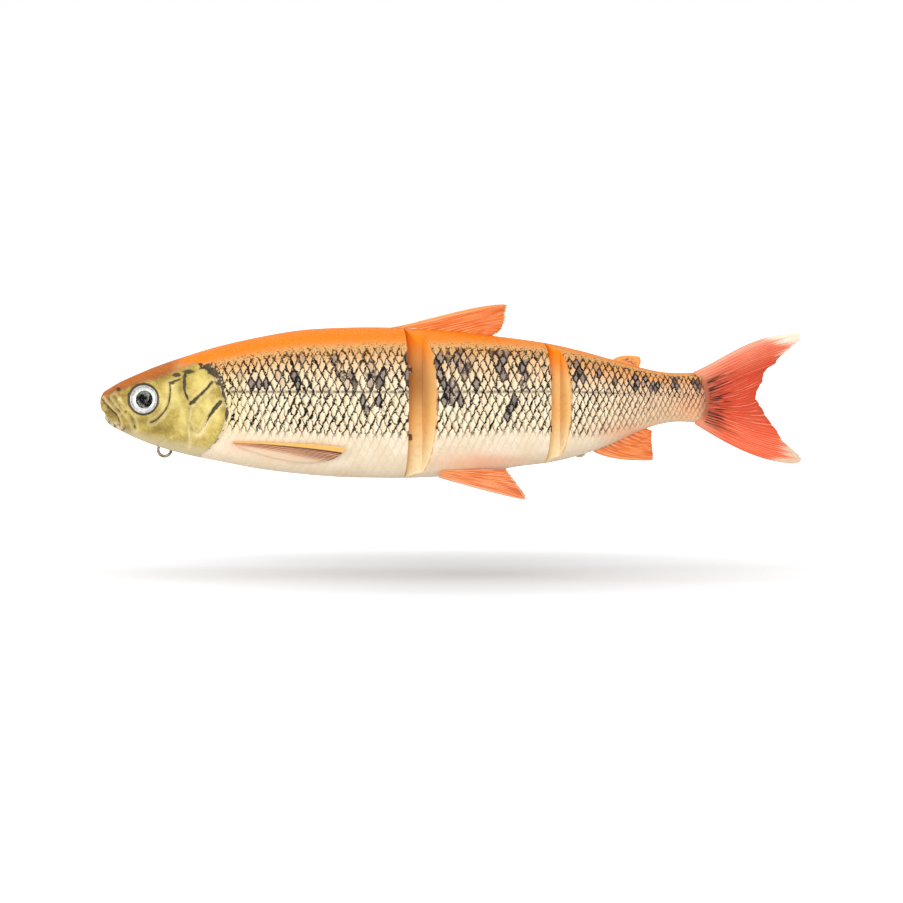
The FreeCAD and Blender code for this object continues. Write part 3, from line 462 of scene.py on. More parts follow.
def head_fields(x, z):
    """Relief in millimetres and paint fields of the sculpted head, from side-view places: dark is dark paint
    and painted shade, pale is painted highlights.
    """
    behind_gill = past_gill(x, z)
    on_gill = smoothstep(z, -19.5, -17.5) * smoothstep(z, 15.0, 12.5)
    plate = (1 - smoothstep(behind_gill, -0.35, 0.25)) * np.exp(np.clip(behind_gill, None, 0) / 9.0) * on_gill
    relief = 0.75 * plate - 0.30 * bump(behind_gill - 0.6, 0.55) * on_gill
    dark, pale, orange = np.zeros((3, *x.shape))
    grooves = [
        (PREOPERCLE, 0.30, 0.40, 0.72), (CHEEK, 0.42, 0.45, 0.42), (GILL_RAY, 0.36, 0.42, 0.80),
        (GILL_SLOT, 0.45, 0.50, 0.55), (NAPE, 0.12, 0.50, 0.60), (LIP_FOLD, 0.34, 0.40, 0.62),
        (JAW, 0.40, 0.45, 0.50), (MAXILLA, 0.34, 0.50, 0.45), (THROAT, 0.22, 0.50, 0.30),
    ]
    # grooves get dark paint lines with painted shade in the crease
    for points, depth, width, paint in grooves:
        d, along = distance_to(points, x, z)
        relief -= depth * bump(d, width)
        weight = paint * bump(d, width * 1.05)
        if points is GILL_SLOT:
            spread = 0.34 + 0.5 * smoothstep(along, 0.5, 0.9)
            weight = 0.95 * bump(d, spread) * (0.2 + 0.8 * smoothstep(along, 0.42, 0.7))
            shine = 0.85 * bump(d, 0.8) * (1 - smoothstep(along, 0.5, 0.75)) * smoothstep(along, 0.1, 0.3)
            pale = np.maximum(pale, shine)
        if points is CHEEK:
            weight = 0.85 * bump(d, 0.55) * (0.25 + 0.75 * smoothstep(0.42 - along, 0.0, 0.12))
            pale = np.maximum(pale, 0.60 * bump(d, 0.6) * smoothstep(along, 0.38, 0.6))
        if points is GILL_RAY:
            weight = 0.85 * bump(d, 0.62)
        if points in (PREOPERCLE, GILL_RAY, GILL_SLOT, MAXILLA):
            # painted highlights beside these grooves
            pale = np.maximum(pale, 0.34 * bump(d - 1.15, 0.5))
        dark = np.maximum(dark, weight)
    ridges = [(BROW, 0.22, 0.80), (LIP, 0.70, 0.55), (SNOUT, 0.50, 0.60)]
    for points, height, width in ridges:
        d, _ = distance_to(points, x, z)
        relief += height * bump(d, width)
        # painted shade beside the lip ridge
        dark = np.maximum(dark, 0.42 * bump(d - 1.9 * width, 0.35) * (points is LIP))
        pale = np.maximum(pale, 0.55 * bump(d, width * 0.7) * (points is LIP))
        orange = np.maximum(orange, bump(d, width * 0.8) * (0.45 if points is BROW else 0.2))
    mouth = smoothstep(-(x + 117.3), 0.0, 2.2) * smoothstep(z, -9.2, -7.6) * (1 - smoothstep(z, -4.6, -2.6))
    mouth *= 1 - smoothstep(-(z + 9.4) - (x + 124.5) * 0.5, 0.0, 1.0)
    relief -= 0.75 * mouth
    hole = np.hypot((x - NOSTRIL[0]) / 1.25, (z - NOSTRIL[1]) / 0.75)
    relief -= 0.7 * bump(hole, 0.75)
    relief += 0.25 * bump(hole - 1.45, 0.4)
    # painted shade in the nostril
    dark = np.maximum(dark, 0.85 * bump(hole, 0.8))
    eye = np.hypot(x - EYE_X, z - EYE_Z)
    relief += 0.38 * bump(eye - 6.3, 0.85) - 0.14 * bump(eye - 8.2, 0.9)
    # painted shade in the gap round the eye
    dark = np.maximum(dark, 0.90 * bump(np.clip(eye - 5.4, 0, None), 0.40))
    dark = np.maximum(dark, 0.90 * patches(SMEARS, x, z))
    thick = 0.55 + 1.5 * smoothstep(z, 3.0, 11.0)
    seam = bump(behind_gill - 0.9 * thick, thick) * on_gill * smoothstep(z, -9.0, -5.0)
    dark = np.maximum(dark, 0.86 * seam)
    # painted shade in the groove behind the raised gill cover
    dark = np.maximum(dark, 0.30 * bump(behind_gill - 0.5, 0.5) * on_gill)
    above = smoothstep(z - 0.42 * (x + 92), 12.0, 15.0) * smoothstep(x, -101.0, -93.0)
    gold = (1 - smoothstep(behind_gill, -0.2, 0.4)) * (1 - above)
    return relief, dark, pale, orange, gold


def skin_fields(x, y, z, section, edge):
    """Relief and the four colour attributes over a section's skin grid."""
    back, belly, _ = outline(x)
    q = (z - belly) / (back - belly)
    columns, rows, middle_x, middle_z = lattice_coordinates(x, y, z)
    a, b = columns + rows / 2, columns - rows / 2
    rear = smoothstep(x, 20.0, 80.0)
    top = np.interp(x, [-85, -38, -12, 10, 35, 60, 90], [0.845, 0.858, 0.872, 0.900, 0.930, 0.945, 0.935])
    low = 0.290 - 0.22 * rear
    strength = smoothstep(q, low - 0.06, low + 0.05) * (1 - smoothstep(q, top - 0.05, top + 0.05))
    shape = np.maximum(strength, 0.16 + 0.2 * rear) * smoothstep(q, 0.04, 0.2)
    shape = shape * (1 - smoothstep(q, 0.9, 0.97))
    relief = 0.30 * (0.5 * ((a % 1.0) + (b % 1.0)) - 0.5) * shape
    orange = smoothstep(q, top - 0.20, top + 0.10)
    cream = 1 - smoothstep(q, low - 0.06, low + 0.06)
    dark, pale, ridge, gold, light, painted_shade = np.zeros((6, *x.shape))
    if section == "front":
        head, dark, pale, ridge, gold = head_fields(x, z)
        nape = smoothstep(x - (-90.0 + 0.35 * (z - 13.0) * (z > 13.0)), -1.0, 5.0)
        scaled = smoothstep(past_gill(x, z), 0.6, 2.6) * np.where(z > 12, nape, 1.0)
        relief = relief * scaled + head * (1 - smoothstep(x, -79.5, -77.0))
        strength = strength * scaled
        orange = orange * smoothstep(x, -108.0, -98.0) * (1 - gold**2)
        under = np.interp(x, [-125, -121, -112, -100, -88], [2.4, 3.2, 6.0, 6.6, 5.6])
        crown = smoothstep(z - (back - under), 0.0, 0.85 * under) * smoothstep(x, -126.0, -123.5)
        crown *= 1 - smoothstep(x, -90.0, -84.0)
        orange = np.maximum(orange, crown)
        loose = (1 - smoothstep(x, -79.0, -68.0)) * (gold < 0.5)
        # light holds the cheek's painted highlights, and how loose the scales are just behind the head
        light = np.maximum(patches(CHEEK_HIGHLIGHTS, x, z) * (gold > 0.2), loose)
        painted_shade = patches(CHEEK_SHADE, x, z)
    rim = np.ones(x.shape)
    if edge is not None:
        rim = np.clip((x - edge[None, :]) / 6.0, 0, 1)
    relief = relief * (1 - smoothstep(np.abs(q - 0.5), 0.485, 0.5))
    spots = patches(PATCHES, middle_x, middle_z)
    lateral = bump(rows, 0.17)
    rose = np.maximum(patches(ROSE, x, z), 0.8 * patches(FAINT_ROSE, x, z))
    colours = {
        "zones": (strength, orange, cream, gold),
        "marks": (dark, spots, np.zeros(x.shape), lateral * (gold < 0.5)),
        "lattice": (a, b, rim, q),
        "head": (light, painted_shade, pale, np.maximum(ridge * (gold > 0.2), rose * (gold <= 0.2))),
    }
    colours = {k: np.stack(v, -1).reshape(-1, 4) for k, v in colours.items()}
    return relief, colours


# ------------------------------------------------------------------ half shells
SPACING = {"front": 0.38, "middle": 0.36, "rear": 0.30}  # between rings of the skin grid
LINES = {"front": 236, "middle": 190, "rear": 190}  # along the skin, from belly to back
NOSE_ROUND, NOSE_Z = 1.5, -0.3  # length of the rounding behind the nose tip, and the height it is drawn to
# Where the strips for the skin, the two ends and the flat face start in a shell's texture space.
SKIN_STRIP, NOSE_STRIP, STERN_STRIP, FLAT_STRIP = 0.86, 0.87, 0.93, 0.985
STRIP_WIDTH = 0.05
HEAD_LENGTH = 46.0


def section_columns(name, start, end):
    """Shares of a section's length at which the skin grid has a ring, closer together on the head."""
    spacing = SPACING[name]
    if name != "front":
        return np.linspace(0, 1, int((end - start) / spacing) + 1)
    head = np.arange(0, HEAD_LENGTH, 0.21)
    rest = np.linspace(HEAD_LENGTH, end - start, int((end - start - HEAD_LENGTH) / spacing))
    nose = np.array([0.0, 0.05, 0.15])
    return np.concatenate([nose, head[1:], rest]) / (end - start)


def section_span(name, t):
    """First and last x of a section's skin at each angle t."""
    if name == "front":
        return NOSE_X * np.ones_like(t), solve_end(t, -30.0, -5.0, front_recess)
    if name == "middle":
        return solve_end(t, -20.0, 5.0, front_nose), solve_end(t, 20.0, 45.0, rear_recess)
    return solve_end(t, 30.0, 50.0, rear_nose), solve_end(t, 85.0, 92.5, round_end)


def section_caps(name, first, last):
    """Points over the two ends of a section, from the skin's first and last ring inwards."""
    if name == "front":
        tip = np.full_like(first[1], NOSE_X)
        nose = [(tip, first[1] * (1 - share), first[2]) for share in (0.25, 0.5, 0.75, 1.0)]
        return nose, sheet_columns(last, front_recess, 22)
    if name == "middle":
        return nose_columns(FRONT_HINGE, first), sheet_columns(last, rear_recess, 20)
    return nose_columns(REAR_HINGE, first), sheet_columns(last, round_end, 10)


def round_off_nose(x, y, z):
    """Draws the skin in just behind the tip of the nose, so that the snout is round."""
    share = np.sqrt(np.clip(1 - (1 - np.clip((x - NOSE_X) / NOSE_ROUND, 0, 1)) ** 2, 0, 1))
    shrink = 0.55 + 0.45 * share
    return y * shrink, NOSE_Z + (z - NOSE_Z) * shrink


def raise_relief(x, y, z, relief):
    """Points of the left skin, moved out by the relief."""
    left = np.stack([x, -y, z], -1)
    du, dt = np.gradient(left, axis=0), np.gradient(left, axis=1)
    normal = np.cross(dt, du)
    normal /= np.maximum(np.linalg.norm(normal, axis=-1, keepdims=True), 1e-9)
    normal[..., 1] = np.where(np.abs(y) < 1e-9, 0.0, normal[..., 1])
    flip = np.sign((normal[..., 1] * left[..., 1]).sum())
    points = left + normal * flip * relief[..., None]
    points[..., 1] = np.where(y < 1e-9, 0.0, np.minimum(points[..., 1], 0.0))
    # relief is pressed back where it would stand out of the solid model's box
    for axis, limit, share_back in ((1, 13.6, 0.32), (0, 124.0, 0.08)):
        points[..., axis] += share_back * np.clip(-points[..., axis] - limit, 0, None)
    return points


def cap_fields(name, is_nose, block):
    """The four colour attributes over an end of a section: bare plastic, or paint on snout and tail root."""
    count = block[..., 0].size
    zero, one = np.zeros(count), np.ones(count)
    snout = name == "front" and is_nose
    tail_root = name == "rear" and not is_nose
    back, belly, _ = outline(block[..., 0])
    level = ((block[..., 2] - belly) / (back - belly)).reshape(-1)
    # painted shade on the middle section's ends, strongest on the recessed neck, weaker on the shoulder
    # facets
    neck = np.where(np.abs(block[..., 1]).reshape(-1) < FRONT_HINGE["r"] + 0.01, 0.85, 0.40)
    neck_shade = np.exp(-(((level - 0.66) / 0.20) ** 2)) * (name == "middle") * neck
    return {
        "zones": (zero, zero, one * tail_root, one * snout),
        "marks": (zero, zero, one * (not (snout or tail_root)), zero),
        "lattice": (zero, zero, one, level),
        "head": (zero, neck_shade, zero, one * tail_root),
    }


def half_shell(name, side):
    """One painted half shell: its scaled skin, its two shaped ends and the flat face it is glued on."""
    t = even_angles(LINES[name])
    x0, x1 = section_span(name, t)
    share = section_columns(name, x0.mean(), x1.mean())
    x = x0[None, :] + share[:, None] * (x1 - x0)[None, :]
    y, z = skin(x, np.broadcast_to(t, x.shape))
    if name == "front":
        y, z = round_off_nose(x, y, z)
    relief, colours = skin_fields(x, y, z, name, None if name == "front" else x0)
    skin_points = raise_relief(x, y, z, relief)
    first, last = ((row[:, 0], -row[:, 1], row[:, 2]) for row in (skin_points[0], skin_points[-1]))
    nose, stern = section_caps(name, first, last)
    nx, nt = x.shape
    heights = np.linspace(0, 1, nt)
    index = np.arange(nx * nt).reshape(nx, nt)
    points, faces = [skin_points.reshape(-1, 3)], [grid_faces(index)]
    uvs = [grid_uvs(*np.meshgrid(share * SKIN_STRIP, heights, indexing="ij"))]
    count = nx * nt
    inmost = []
    for columns, row, strip in ((nose, index[0], NOSE_STRIP), (stern, index[-1], STERN_STRIP)):
        block = np.stack([np.stack([cx, -cy, cz], -1) for cx, cy, cz in columns])
        points.append(block.reshape(-1, 3))
        own = count + np.arange(block.shape[0] * nt).reshape(-1, nt)
        count += own.size
        full = np.vstack([row[None, :], own])
        faces.append(grid_faces(full))
        inward = strip + STRIP_WIDTH * np.linspace(0, 1, full.shape[0])
        uvs.append(grid_uvs(*np.meshgrid(inward, heights, indexing="ij")))
        inmost.append(own[-1])
        for key, values in cap_fields(name, columns is nose, block).items():
            colours[key] = np.vstack([colours[key], np.stack(values, -1)])
    middle = [*index[:, 0], *inmost[1], *index[::-1, -1], *inmost[0][::-1]]
    all_points = np.vstack(points)
    flat = all_points[middle]
    along = (flat[:, 0] - flat[:, 0].min()) / np.ptp(flat[:, 0])
    uvs.append(np.stack([FLAT_STRIP + 0.01 * along, (flat[:, 2] + 30) / 60], -1))
    if side > 0:
        all_points = all_points * (1, -1, 1)
    quads = np.vstack(faces).tolist()
    word = dict(SIDES)[side]
    obj = add_mesh(f"{name}_shell_skin_{word}", all_points, [*quads, middle], np.vstack(uvs), colours)
    clean(obj)
    return obj


def slot_cutters(hinge, heights):
    """Fan-shaped slots in a nose round its hinge plates."""
    turn = math.radians(180.0 - SWING - 3.0)
    reach = hinge["r"] + 4.0
    side = (math.sin(turn) * PLATE_NECK, -math.cos(turn) * PLATE_NECK)
    tip = (side[0] + math.cos(turn) * reach, side[1] + math.sin(turn) * reach)
    arc = [math.radians(a) for a in range(-55, 56, 10)]
    plan = [(hinge["x"] + tip[0], tip[1]), (hinge["x"] + tip[0], -tip[1])]
    plan += [(hinge["x"] + PLATE_EYE * math.cos(a), PLATE_EYE * math.sin(a)) for a in arc]
    return [prism(plan, h - PLATE_SLOT_HALF, h + PLATE_SLOT_HALF, 0.35) for h in heights]


def node_middle(node):
    """Middle of one of the solid model's pieces, in millimetres."""
    low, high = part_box(node)
    return (low + high) / 2 / MM


def eye_frame(side):
    """Centre on the skin and outward direction of an eye, in millimetres."""
    step = 0.5
    along = (flank(EYE_X + step, EYE_Z) - flank(EYE_X - step, EYE_Z)) / (2 * step)
    up = (flank(EYE_X, EYE_Z + step) - flank(EYE_X, EYE_Z - step)) / (2 * step)
    outward = Vector((-along, side, -up)).normalized()
    return Vector((EYE_X, side * float(flank(EYE_X, EYE_Z)), EYE_Z)), outward


def lathe(name, profile, side, segments=96):
    """A closed turned piece about an eye's axis. Its (radius, height) rows start and end at radius 0."""
    centre, outward = eye_frame(side)
    turn = outward.to_track_quat("Z", "Y").to_matrix()
    rows = []
    for r, h in profile:
        for i in range(segments):
            a = 2 * math.pi * i / segments
            rows.append(centre + turn @ Vector((r * math.cos(a), r * math.sin(a), h)))
    n = len(profile)
    index = np.arange(n * segments).reshape(n, segments)
    index = np.hstack([index, index[:, :1]])
    v, u = np.meshgrid(np.linspace(0.02, 0.98, n), np.linspace(0.02, 0.98, segments + 1), indexing="ij")
    radius = np.repeat([p[0] for p in profile], segments)
    angle = np.tile(np.arange(segments) / segments, n)
    polar = np.stack([radius / 6.0, angle, angle * 0, angle * 0], -1)
    points = [tuple(p) for p in rows]
    obj = add_mesh(name, points, grid_faces(index).tolist(), grid_uvs(u, v), {"polar": polar})
    clean(obj, 1e-6)
    return obj


# ------------------------------------------------------------------ fins
def blade(
    name, root, tip, bend, rays, half, place, scallop=0.45, steps=46, relief=0.10, lead=0.0, per_ray=8
):
    """A thin closed fin. Its rays run from a root line to a tip line.

    bend holds two control points of the first, middle and last ray. half is the half thickness at the root
    and at the edge, and place turns (x, z, off) into a point. scallop is how far the edge waves, relief how
    high the rays stand, and lead how much thicker the first ray is.
    """
    nu, nv = rays * per_ray + 1, steps + 1
    u, v = np.meshgrid(np.linspace(0, 1, nu), np.linspace(0, 1, nv), indexing="ij")
    start = rounded(root, nu)[:, None, :]
    end = rounded(tip, nu)
    s = np.linspace(0, 1, nu)[:, None]
    hold = []
    for number in (0, 1):
        b0, b1, b2 = (np.array(pair[number], float) for pair in bend)
        hold.append(b0 * (1 - s) * (1 - 2 * s) + b1 * 4 * s * (1 - s) + b2 * s * (2 * s - 1))
    wave = np.abs(np.sin(np.pi * rays * u[:, 0]))
    jitter = np.repeat(rng.uniform(-0.5, 0.5, rays), per_ray)
    jitter = np.append(jitter, jitter[-1])
    ends_fade = smoothstep(u[:, 0], 0.0, 0.06) * smoothstep(u[:, 0], 1.0, 0.94)
    away = end - hold[1]
    away /= np.linalg.norm(away, axis=1, keepdims=True)
    end = end + away * ((wave * 0.9 - 0.9 + 0.55 * jitter) * scallop * ends_fade)[:, None]
    w = v[..., None]
    flat = (1 - w) ** 3 * start + 3 * w * (1 - w) ** 2 * hold[0][:, None, :]
    flat = flat + 3 * w**2 * (1 - w) * hold[1][:, None, :] + w**3 * end[:, None, :]
    ridge = np.cos(np.pi * rays * u) ** 2
    branch = np.cos(2 * np.pi * rays * u) ** 2
    ribs = ridge * (1 - smoothstep(v, 0.45, 0.7)) + branch * smoothstep(v, 0.45, 0.7)
    thick = half[0] + (half[1] - half[0]) * v**0.7
    thick = thick + relief * (ribs - 0.5) * smoothstep(v, 0.02, 0.2)
    thick = thick + lead * bump(u, 0.05) * (1 - v)
    side_fade = np.minimum(np.minimum(u, 1 - u) * 22, 1) ** 0.5
    tip_fade = np.minimum((1 - v) * 14, 1) ** 0.5
    thick = np.maximum(thick * side_fade * tip_fade, 0.06)
    near = place(flat[..., 0], flat[..., 1], thick).reshape(-1, 3)
    far = place(flat[..., 0], flat[..., 1], -thick).reshape(-1, 3)
    a = np.arange(nu * nv).reshape(nu, nv)
    b = a + nu * nv
    rim_a = np.concatenate([a[:, 0], a[-1, 1:], a[-2::-1, -1], a[0, -2:0:-1]])
    rim_b = rim_a + nu * nv
    rim = np.stack([rim_a, rim_b, np.roll(rim_b, -1), np.roll(rim_a, -1)], -1)
    faces = np.vstack([grid_faces(a), grid_faces(b), rim])
    uvs = [grid_uvs(u * 0.48 + start_u, v * 0.96 + 0.02) for start_u in (0.01, 0.51)]
    uvs.append(np.full((rim.size, 2), 0.5))
    colour = np.stack([u, v, thick * 0, thick * 0], -1).reshape(-1, 4)
    colours = {"fin": np.vstack([colour, colour])}
    obj = add_mesh(name, np.vstack([near, far]), faces.tolist(), np.vstack(uvs), colours)
    clean(obj, 1e-6)
    shade(obj, 60)
    return obj


def on_centre(x, z, off):
    """Places on a fin that stands on the centre plane."""
    return np.stack([x, off, z], -1)


def on_pelvic(side):
    """Places on a pelvic fin, which splays out from its root."""
    sine, cosine = math.sin(PELVIC_SPLAY), math.cos(PELVIC_SPLAY)

    def place(x, z, off):
        down = (PELVIC_ROOT[1] - z) / cosine
        across = PELVIC_ROOT[0] + down * sine + off * cosine
        return np.stack([x, side * across, z + off * sine], -1)

    return place


def on_flank(side):
    """Places on a pectoral fin, which lies along the flank."""

    def place(x, z, off):
        lift = 0.75 + 0.5 * smoothstep(x, -75.0, -40.0)
        return np.stack([x, side * (flank(x, z) + lift + off), z], -1)

    return place


# ------------------------------------------------------------------ materials
def srgb(r, g, b):
    """A linear colour from 0 to 255 display values."""
    out = []
    for c in (r, g, b):
        c /= 255.0
        out.append(c / 12.92 if c <= 0.04045 else ((c + 0.055) / 1.055) ** 2.4)
    return (*out, 1.0)


class Value:
    """A value that varies over a surface. Arithmetic on it adds the nodes that work it out."""

    def __init__(self, graph, socket):
        self.graph = graph
        self.socket = socket

    def __add__(self, other):
        return self.graph.math("ADD", self, other)

    def __radd__(self, other):
        return self.graph.math("ADD", other, self)

    def __sub__(self, other):
        return self.graph.math("SUBTRACT", self, other)

    def __rsub__(self, other):
        return self.graph.math("SUBTRACT", other, self)

    def __mul__(self, other):
        return self.graph.math("MULTIPLY", self, other)

    def __rmul__(self, other):
        return self.graph.math("MULTIPLY", other, self)


class Graph:
    """A short way to write the node graph of a material or of the world."""

    def __init__(self, owner, end):
        owner.use_nodes = True
        self.tree = owner.node_tree
        self.tree.nodes.clear()
        self.end = self.tree.nodes.new(end)

    def feed(self, socket, value):
        if isinstance(value, Value):
            self.tree.links.new(value.socket, socket)
        else:
            socket.default_value = value

    def finish(self, shader):
        self.feed(self.end.inputs[0], shader)

    def node(self, kind, inputs=None, output=0, **settings):
        """Adds a node, feeds its inputs and gives one of its outputs."""
        node = self.tree.nodes.new("ShaderNode" + kind)
        for key, value in settings.items():
            setattr(node, key, value)
        for key, value in (inputs or {}).items():
            self.feed(node.inputs[key], value)
        return Value(self, node.outputs[output])

    def math(self, operation, a, b=0.0):
        return self.node("Math", {0: a, 1: b}, operation=operation)

    def lower(self, a, b):
        return self.math("MINIMUM", a, b)

    def higher(self, a, b):
        return self.math("MAXIMUM", a, b)

    def part(self, value):
        """What is left of a value above the whole number below it."""
        return self.math("FRACT", value)

    def step(self, value, low, high, invert=False, ends=(0.0, 1.0)):
        """The first end below low and the second above high. High below low, or invert, swaps the ends."""
        if high < low:
            low, high, invert = high, low, not invert
        first, last = ends[::-1] if invert else ends
        inputs = {"Value": value, "From Min": low, "From Max": high, "To Min": first, "To Max": last}
        return self.node("MapRange", inputs, interpolation_type="SMOOTHSTEP")

    def mix(self, factor, a, b):
        """Colour a where factor is 0 and colour b where it is 1."""
        return self.node("Mix", {"Factor": factor, 6: a, 7: b}, 2, data_type="RGBA")

    def layers(self, colour, *rows):
        """Lays the colour of each (weight, red, green, blue) row over the ones before it."""
        for weight, *tint in rows:
            colour = self.mix(weight, colour, srgb(*tint))
        return colour

    def attribute(self, name):
        """The four channels of a vertex attribute."""
        colour = self.node("Attribute", None, "Color", attribute_name=name)
        red = self.node("SeparateColor", {0: colour})
        channels = [*red.socket.node.outputs, colour.socket.node.outputs["Alpha"]]
        return [Value(self, channel) for channel in channels]

    def place(self):
        return self.node("TexCoord", None, "Object")

    def along(self, place):
        """Place along the body, in metres."""
        return self.node("SeparateXYZ", {0: place})

    def vector(self, x, y):
        return self.node("CombineXYZ", {0: x, 1: y})

    def length(self, vector):
        return self.node("VectorMath", {0: vector}, "Value", operation="LENGTH")

    def noise(self, vector, scale, detail=3.0, roughness=0.55):
        inputs = {"Vector": vector, "Scale": scale, "Detail": detail, "Roughness": roughness}
        return self.node("TexNoise", inputs)

    def random(self, x, y):
        return self.node("TexWhiteNoise", {"Vector": self.vector(x, y)}, noise_dimensions="2D")

    def seen_by(self, *rays):
        """1 where a ray is of one of the given kinds."""
        path = self.node("LightPath").socket.node
        seen = Value(self, path.outputs[rays[0]])
        for ray in rays[1:]:
            seen = self.higher(seen, Value(self, path.outputs[ray]))
        return seen


class Skin(Graph):
    """The graph of a material with one principled shader."""

    def __init__(self, name, **shader):
        self.mat = bpy.data.materials.new(name)
        super().__init__(self.mat, "ShaderNodeOutputMaterial")
        values = {key.replace("_", " "): value for key, value in shader.items()}
        surface = self.node("BsdfPrincipled", values)
        self.shader = surface.socket.node
        self.finish(surface)

    def colour(self, value):
        self.feed(self.shader.inputs["Base Color"], value)

    def roughness(self, value):
        self.feed(self.shader.inputs["Roughness"], value)

    def bump(self, height, strength, distance):
        relief = self.node("Bump", {"Strength": strength, "Distance": distance, "Height": height})
        self.feed(self.shader.inputs["Normal"], relief)


def paint_material():
    """Painted skin: dark-edged scales, orange back, cream belly, gold head, bare plastic at the joints."""
    g = Skin("painted_skin", Coat_Weight=0.02, Coat_Roughness=0.2, IOR=1.45, Specular_IOR_Level=0.10)
    place = g.place()
    aft = g.step(g.along(place), 0.038, 0.086)
    scales, orange, cream, gold = g.attribute("zones")
    dark, spots, bare, lateral = g.attribute("marks")
    leaning_back, leaning_fore, rim, level = g.attribute("lattice")
    light, painted_shade, pale, warm = g.attribute("head")
    fine = g.noise(place, 1700, 2.0)
    grain = g.noise(place, 620, 3.0)
    broad = g.noise(place, 130, 3.0)
    sway = g.noise(place, 470, 2.0)
    wobble = (grain - 0.5) * 0.68 + (fine - 0.5) * 0.26
    shift = (sway - 0.5) * 0.7
    back_count, fore_count = leaning_back + (shift + wobble), leaning_fore + (shift - wobble)
    back_part, fore_part = g.part(back_count), g.part(fore_count)
    cell = g.random(g.math("FLOOR", back_count), g.math("FLOOR", fore_count))
    loose = light * (1.0 - gold)
    patch = spots * 1.3 + ((cell - 0.5) * 0.5 + (grain - 0.5) * 0.6)
    patch = g.step(patch, 0.34, 0.56)

    # dark outlines: lines leaning back lead above the lateral line, lines leaning forward below it
    back_gap = g.lower(back_part, 1.0 - back_part)
    fore_gap = g.lower(fore_part, 1.0 - fore_part)
    upper = g.step(level, 0.50, 0.62)
    swell = (grain - 0.5) * 2.6 + (1.12 + patch * 0.5)
    swell = g.higher(swell, 0.45)
    back_width = (0.058 + upper * 0.056) * swell
    fore_width = (0.124 + upper * -0.03) * swell
    back_line = g.step(g.math("DIVIDE", back_gap, back_width), 0.72, 1.2, True)
    fore_line = g.step(g.math("DIVIDE", fore_gap, fore_width), 0.72, 1.2, True)
    breaks = g.step(fine + (cell - 0.5) * 0.3, 0.34, 0.5)
    breaks = 0.6 - loose * 0.58 + breaks * (0.4 + loose * 0.58)
    lines = g.higher(back_line, fore_line) * breaks
    speckle = g.step(scales + (fine - 0.5) * 1.8, 0.28, 0.6) * g.step(scales, 0.0, 0.12)
    hold = speckle * upper + g.step(scales, 0.05, 1.0) * (1.0 - upper)

    # each scale has painted shade, tan where it lies under the one ahead, and is lighter ivory at its rear
    # edge
    run = (back_part + fore_part) * 0.5
    ivory = g.mix(g.step(run, 0.15, 0.62), srgb(206, 176, 132), srgb(250, 230, 194))
    ivory = g.mix(g.step(cell, 0.35, 0.9) * 0.4, ivory, srgb(222, 190, 148))
    streak = g.noise(g.vector(back_count, fore_count * 6.0), 1.6, 2.0)
    # painted highlights in the light streaks and painted shade in the dark ones
    ivory = g.layers(
        ivory,
        (g.step(streak, 0.46, 0.62) * 0.55, 252, 246, 228),
        (g.step(streak, 0.45, 0.28) * 0.45, 176, 144, 106),
        (loose * 0.55, 232, 212, 152),
        (g.step(level, 0.56, 0.8) * 0.6, 222, 174, 118),
        (aft * 0.62, 218, 164, 118),
    )
    rear_back = g.step(g.along(place), 0.03, 0.05) * g.step(level, 0.7, 0.94)
    ivory = g.mix(rear_back * 0.8, ivory, srgb(226, 132, 48))
    belly = g.layers(
        g.mix(g.step(broad, 0.35, 0.7), srgb(234, 216, 186), srgb(246, 230, 206)),
        (g.step(level, 0.14, 0.0) * 0.5, 214, 190, 160),
        (aft * 0.75, 214, 184, 150),
    )
    near = g.step(level, 0.1, 0.26) * 0.16
    belly = g.layers(
        belly,
        (lines * (0.08 + near + aft * 0.28), 172, 146, 116),
        (g.step(fine, 0.56, 0.7) * 0.35, 252, 242, 226),
    )
    colour = g.mix(cream, ivory, belly)
    rose = warm * (1.0 - gold) * 0.55
    colour = g.mix(rose, colour, srgb(240, 164, 122))
    back = g.layers(
        g.mix(g.step(orange, 0.76, 1.0), srgb(212, 164, 104), srgb(230, 122, 6)),
        (g.step(fine, 0.46, 0.66) * g.step(orange, 1.0, 0.7) * 0.5, 176, 112, 56),
        (g.step(fine, 0.48, 0.66) * 0.4, 248, 166, 84),
        (g.step(grain, 0.52, 0.68) * 0.3, 214, 112, 22),
    )
    edge = g.step(orange + (grain - 0.5) * 0.5, 0.1, 0.75)
    colour = g.mix(edge * (0.7 + orange * 0.3), colour, back)
    core = g.step(g.lower(back_gap, fore_gap), 0.1, 0.3) * g.step(cell, 0.15, 0.65)
    stain = g.mix(g.step(fine, 0.40, 0.60), srgb(26, 22, 24), srgb(84, 74, 72))
    stain = g.mix(core * 0.85, stain, srgb(146, 130, 122))
    colour = g.mix(patch * g.step(scales, 0.3, 0.8) * (0.9 - orange * 0.2), colour, stain)
    ink = g.mix(g.step(orange, 0.3, 1.0), srgb(14, 12, 14), srgb(84, 46, 22))
    fade = 1.0 - aft * g.step(level, 0.62, 0.1) * 0.72
    shadow = lines * hold * (0.86 + level * 0.4) * (1.0 - orange * 0.15) * fade
    colour = g.mix(g.lower(shadow, 1.0), colour, ink)
    stray = g.step(cell, 0.88, 0.93) * g.step(level, 0.52, 0.66) * 0.3
    colour = g.mix(stray * scales * (1.0 - gold), colour, srgb(120, 104, 96))
    dash = lateral * g.step(g.part((back_count + fore_count) * 0.5) + fine * 0.4, 0.4, 0.62)
    colour = g.mix(dash * scales * (0.8 - aft * 0.5), colour, srgb(30, 24, 24))
    heel = g.step(g.along(place), 0.0868, 0.0900)
    colour = g.mix(heel * 0.6, colour, srgb(156, 80, 60))
    flecks = g.step(fine, 0.55, 0.64) * g.step(orange, 0.35, 0.6) * g.step(orange, 0.82, 1.0, True)
    colour = g.mix(flecks * (1.0 - gold) * 0.7, colour, srgb(92, 60, 36))
